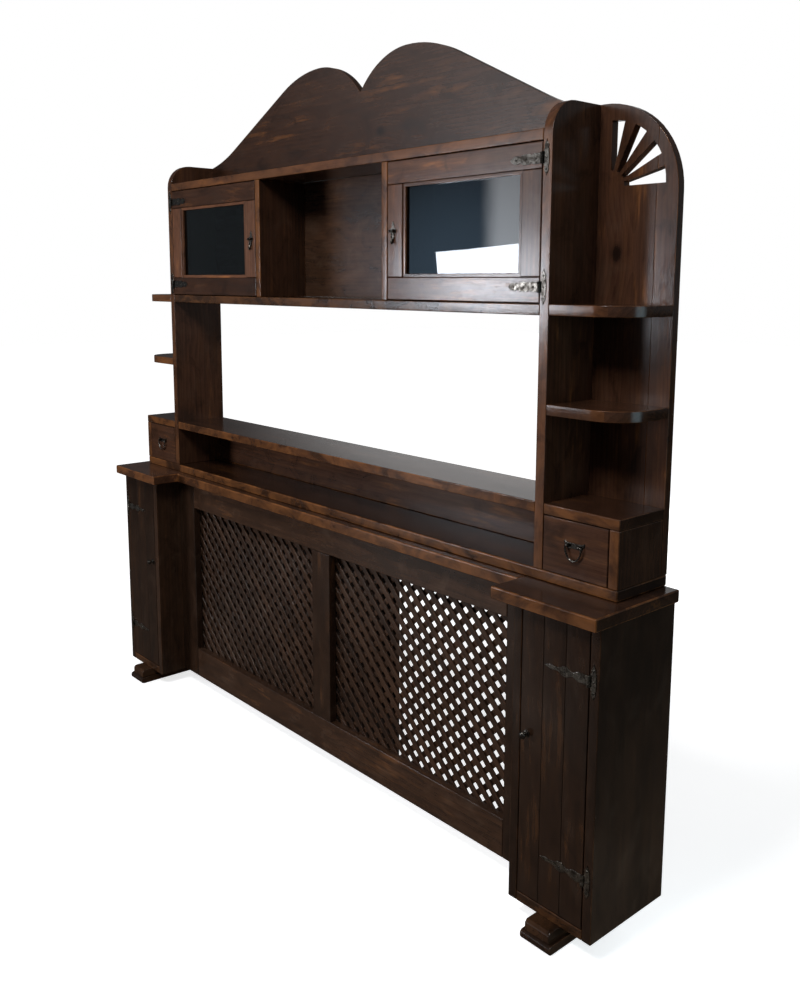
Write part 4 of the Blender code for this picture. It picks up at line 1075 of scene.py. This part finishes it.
def studio_world():
    """White for the eye and through glass; in the lacquer, a white backdrop behind the unit and a
    dim room in front of it, with one lit wall, a bright cornice and a patch of blue haze."""
    world = bpy.data.worlds.new("studio")
    bpy.context.scene.world = world
    world.use_nodes = True
    tree = world.node_tree
    tree.nodes.clear()
    path = add(tree, "LightPath").outputs
    heading = add(tree, "TexCoord").outputs["Generated"]
    wall_start, wall_end = radians(43.45), radians(38.5)
    from_start, from_end, height, to_haze, to_cornice, to_right, to_backdrop = (
        add(tree, "VectorMath", heading, aim, **ALONG).outputs["Value"] for aim in (
            (cos(wall_start), -sin(wall_start), 0), (cos(wall_end), -sin(wall_end), 0), (0, 0, 1),
            (-0.701, -0.713, 0), (-0.629, -0.749, 0.208), (1, 0, 0), (-0.57, 0.82, 0),
        )
    )
    past_start = add(tree, "MapRange", from_start, -0.010, 0.012, **SMOOTH)
    before_end = add(tree, "MapRange", from_end, -0.03, 0.03, 1.0, 0.0, **SMOOTH)
    up_wall = add(tree, "MapRange", height, 0.0, 0.25, 6.5, 0.0)
    across_wall = add(tree, "Math", past_start, before_end, **TIMES)
    wall_level = add(tree, "Math", across_wall, up_wall, **TIMES)
    cornice = add(tree, "MapRange", to_cornice, 0.965, 1.0, 0.0, 1.2)
    up_high = add(tree, "MapRange", height, 0.10, 0.17)
    cornice_level = add(tree, "Math", cornice, up_high, **TIMES)
    dim_level = add(tree, "MapRange", to_right, 0.0, 0.6, 0.07, 0.17)
    lit_level = add(tree, "Math", wall_level, cornice_level, **PLUS)
    room_level = add(tree, "Math", lit_level, dim_level, **PLUS)
    haze_level = add(tree, "MapRange", to_haze, 0.992, 1.0, 0.0, 1.8)
    backdrop_level = add(tree, "MapRange", to_backdrop, 0.90, 0.98, 0.0, 0.65, **SMOOTH)
    sheen = add(tree, "Math", path["Is Glossy Ray"], backdrop_level, **TIMES)
    seen = add(tree, "Math", path["Is Camera Ray"], path["Is Transmission Ray"], operation="MAXIMUM")
    room = add(tree, "Background", colour("#e6e8ec"), room_level)
    backdrop = add(tree, "Background", colour("#ffffff"), sheen)
    haze = add(tree, "Background", colour("#8aaccb"), haze_level)
    hazy_room = add(tree, "AddShader", room, haze)
    lit = add(tree, "AddShader", hazy_room, backdrop)
    paper = add(tree, "Background", colour("#ffffff"), 1.0)
    mixed = add(tree, "MixShader", seen, lit, paper)
    add(tree, "OutputWorld", mixed)


def area_lamp(name, place, target, size, power, tint="#ffffff", roll=0.0):
    lamp = bpy.data.lights.new(name, "AREA")
    lamp.shape = "RECTANGLE"
    lamp.size, lamp.size_y = size
    lamp.energy = power
    lamp.color = colour(tint)[:3]
    item = new_object(name, lamp)
    item.location = place
    aim = (Vector(target) - Vector(place)).to_track_quat("-Z", "Y").to_matrix()
    item.rotation_euler = (aim @ Matrix.Rotation(roll, 3, "Z")).to_euler()
    return item


def lights():
    """A softbox above, daylight from the front left that the lacquer doesn't mirror, the doorway that
    it does, cards for the right side and the back, and two on the floor for the light that it throws up.
    Places and targets are in metres from the unit's middle, powers in watts."""
    area_lamp("key_softbox", (0.7, -2.0, 3.3), (0.2, 0.0, 1.0), (0.8, 0.8), 62)
    area_lamp("side_card", (4.2, 0.6, 1.1), (1.0, 0.0, 0.9), (1.6, 1.6), 13.5, "#cef1ff")
    area_lamp("doorway_card", (-3.458, -4.449, 1.435), (0.6, 0.0, 1.5), (0.93, 0.7), 43, "#f0f5ff",
              radians(5.6))
    daylight = area_lamp("daylight", (-3.4, -4.4, 1.3), (0.0, 0.0, 1.1), (1.2, 1.8), 130, "#f6f8ff")
    floor_card = area_lamp("floor_card", (1.5, 0.05, 0.03), (1.1, 0.0, 0.1), (0.3, 0.3), 2.2, "#d8f4ff")
    front_card = area_lamp("front_floor_card", (0.35, -1.1, 0.03), (0.3, 0.0, 0.2), (0.6, 0.6), 3)
    back_card = area_lamp("back_card", (0.0, 4.2, 1.1), (0.0, 0.0, 1.1), (2.5, 1.5), 70)
    for lamp in (daylight, floor_card, front_card, back_card):
        lamp.visible_camera = False
        lamp.visible_glossy = False
        lamp.visible_transmission = False


def camera():
    """The photograph's own viewpoint, found from the straight lines of the unit."""
    turn, tilt, roll = radians(48.83), radians(-8.49), radians(0.155)
    look = Vector((-sin(turn) * cos(tilt), cos(turn) * cos(tilt), sin(tilt)))
    lens = bpy.data.cameras.new("camera")
    lens.lens = 34.855
    lens.sensor_width = 36
    lens.shift_x = 0.0048
    lens.shift_y = -0.0742
    item = new_object("camera", lens)
    item.location = (2.271, -1.710, 1.491)
    aim = look.to_track_quat("-Z", "Y").to_matrix()
    item.rotation_euler = (aim @ Matrix.Rotation(roll, 3, "Z")).to_euler()
    bpy.context.scene.camera = item


floor()
studio_world()
lights()
camera()
bpy.context.scene.view_settings.view_transform = "Standard"
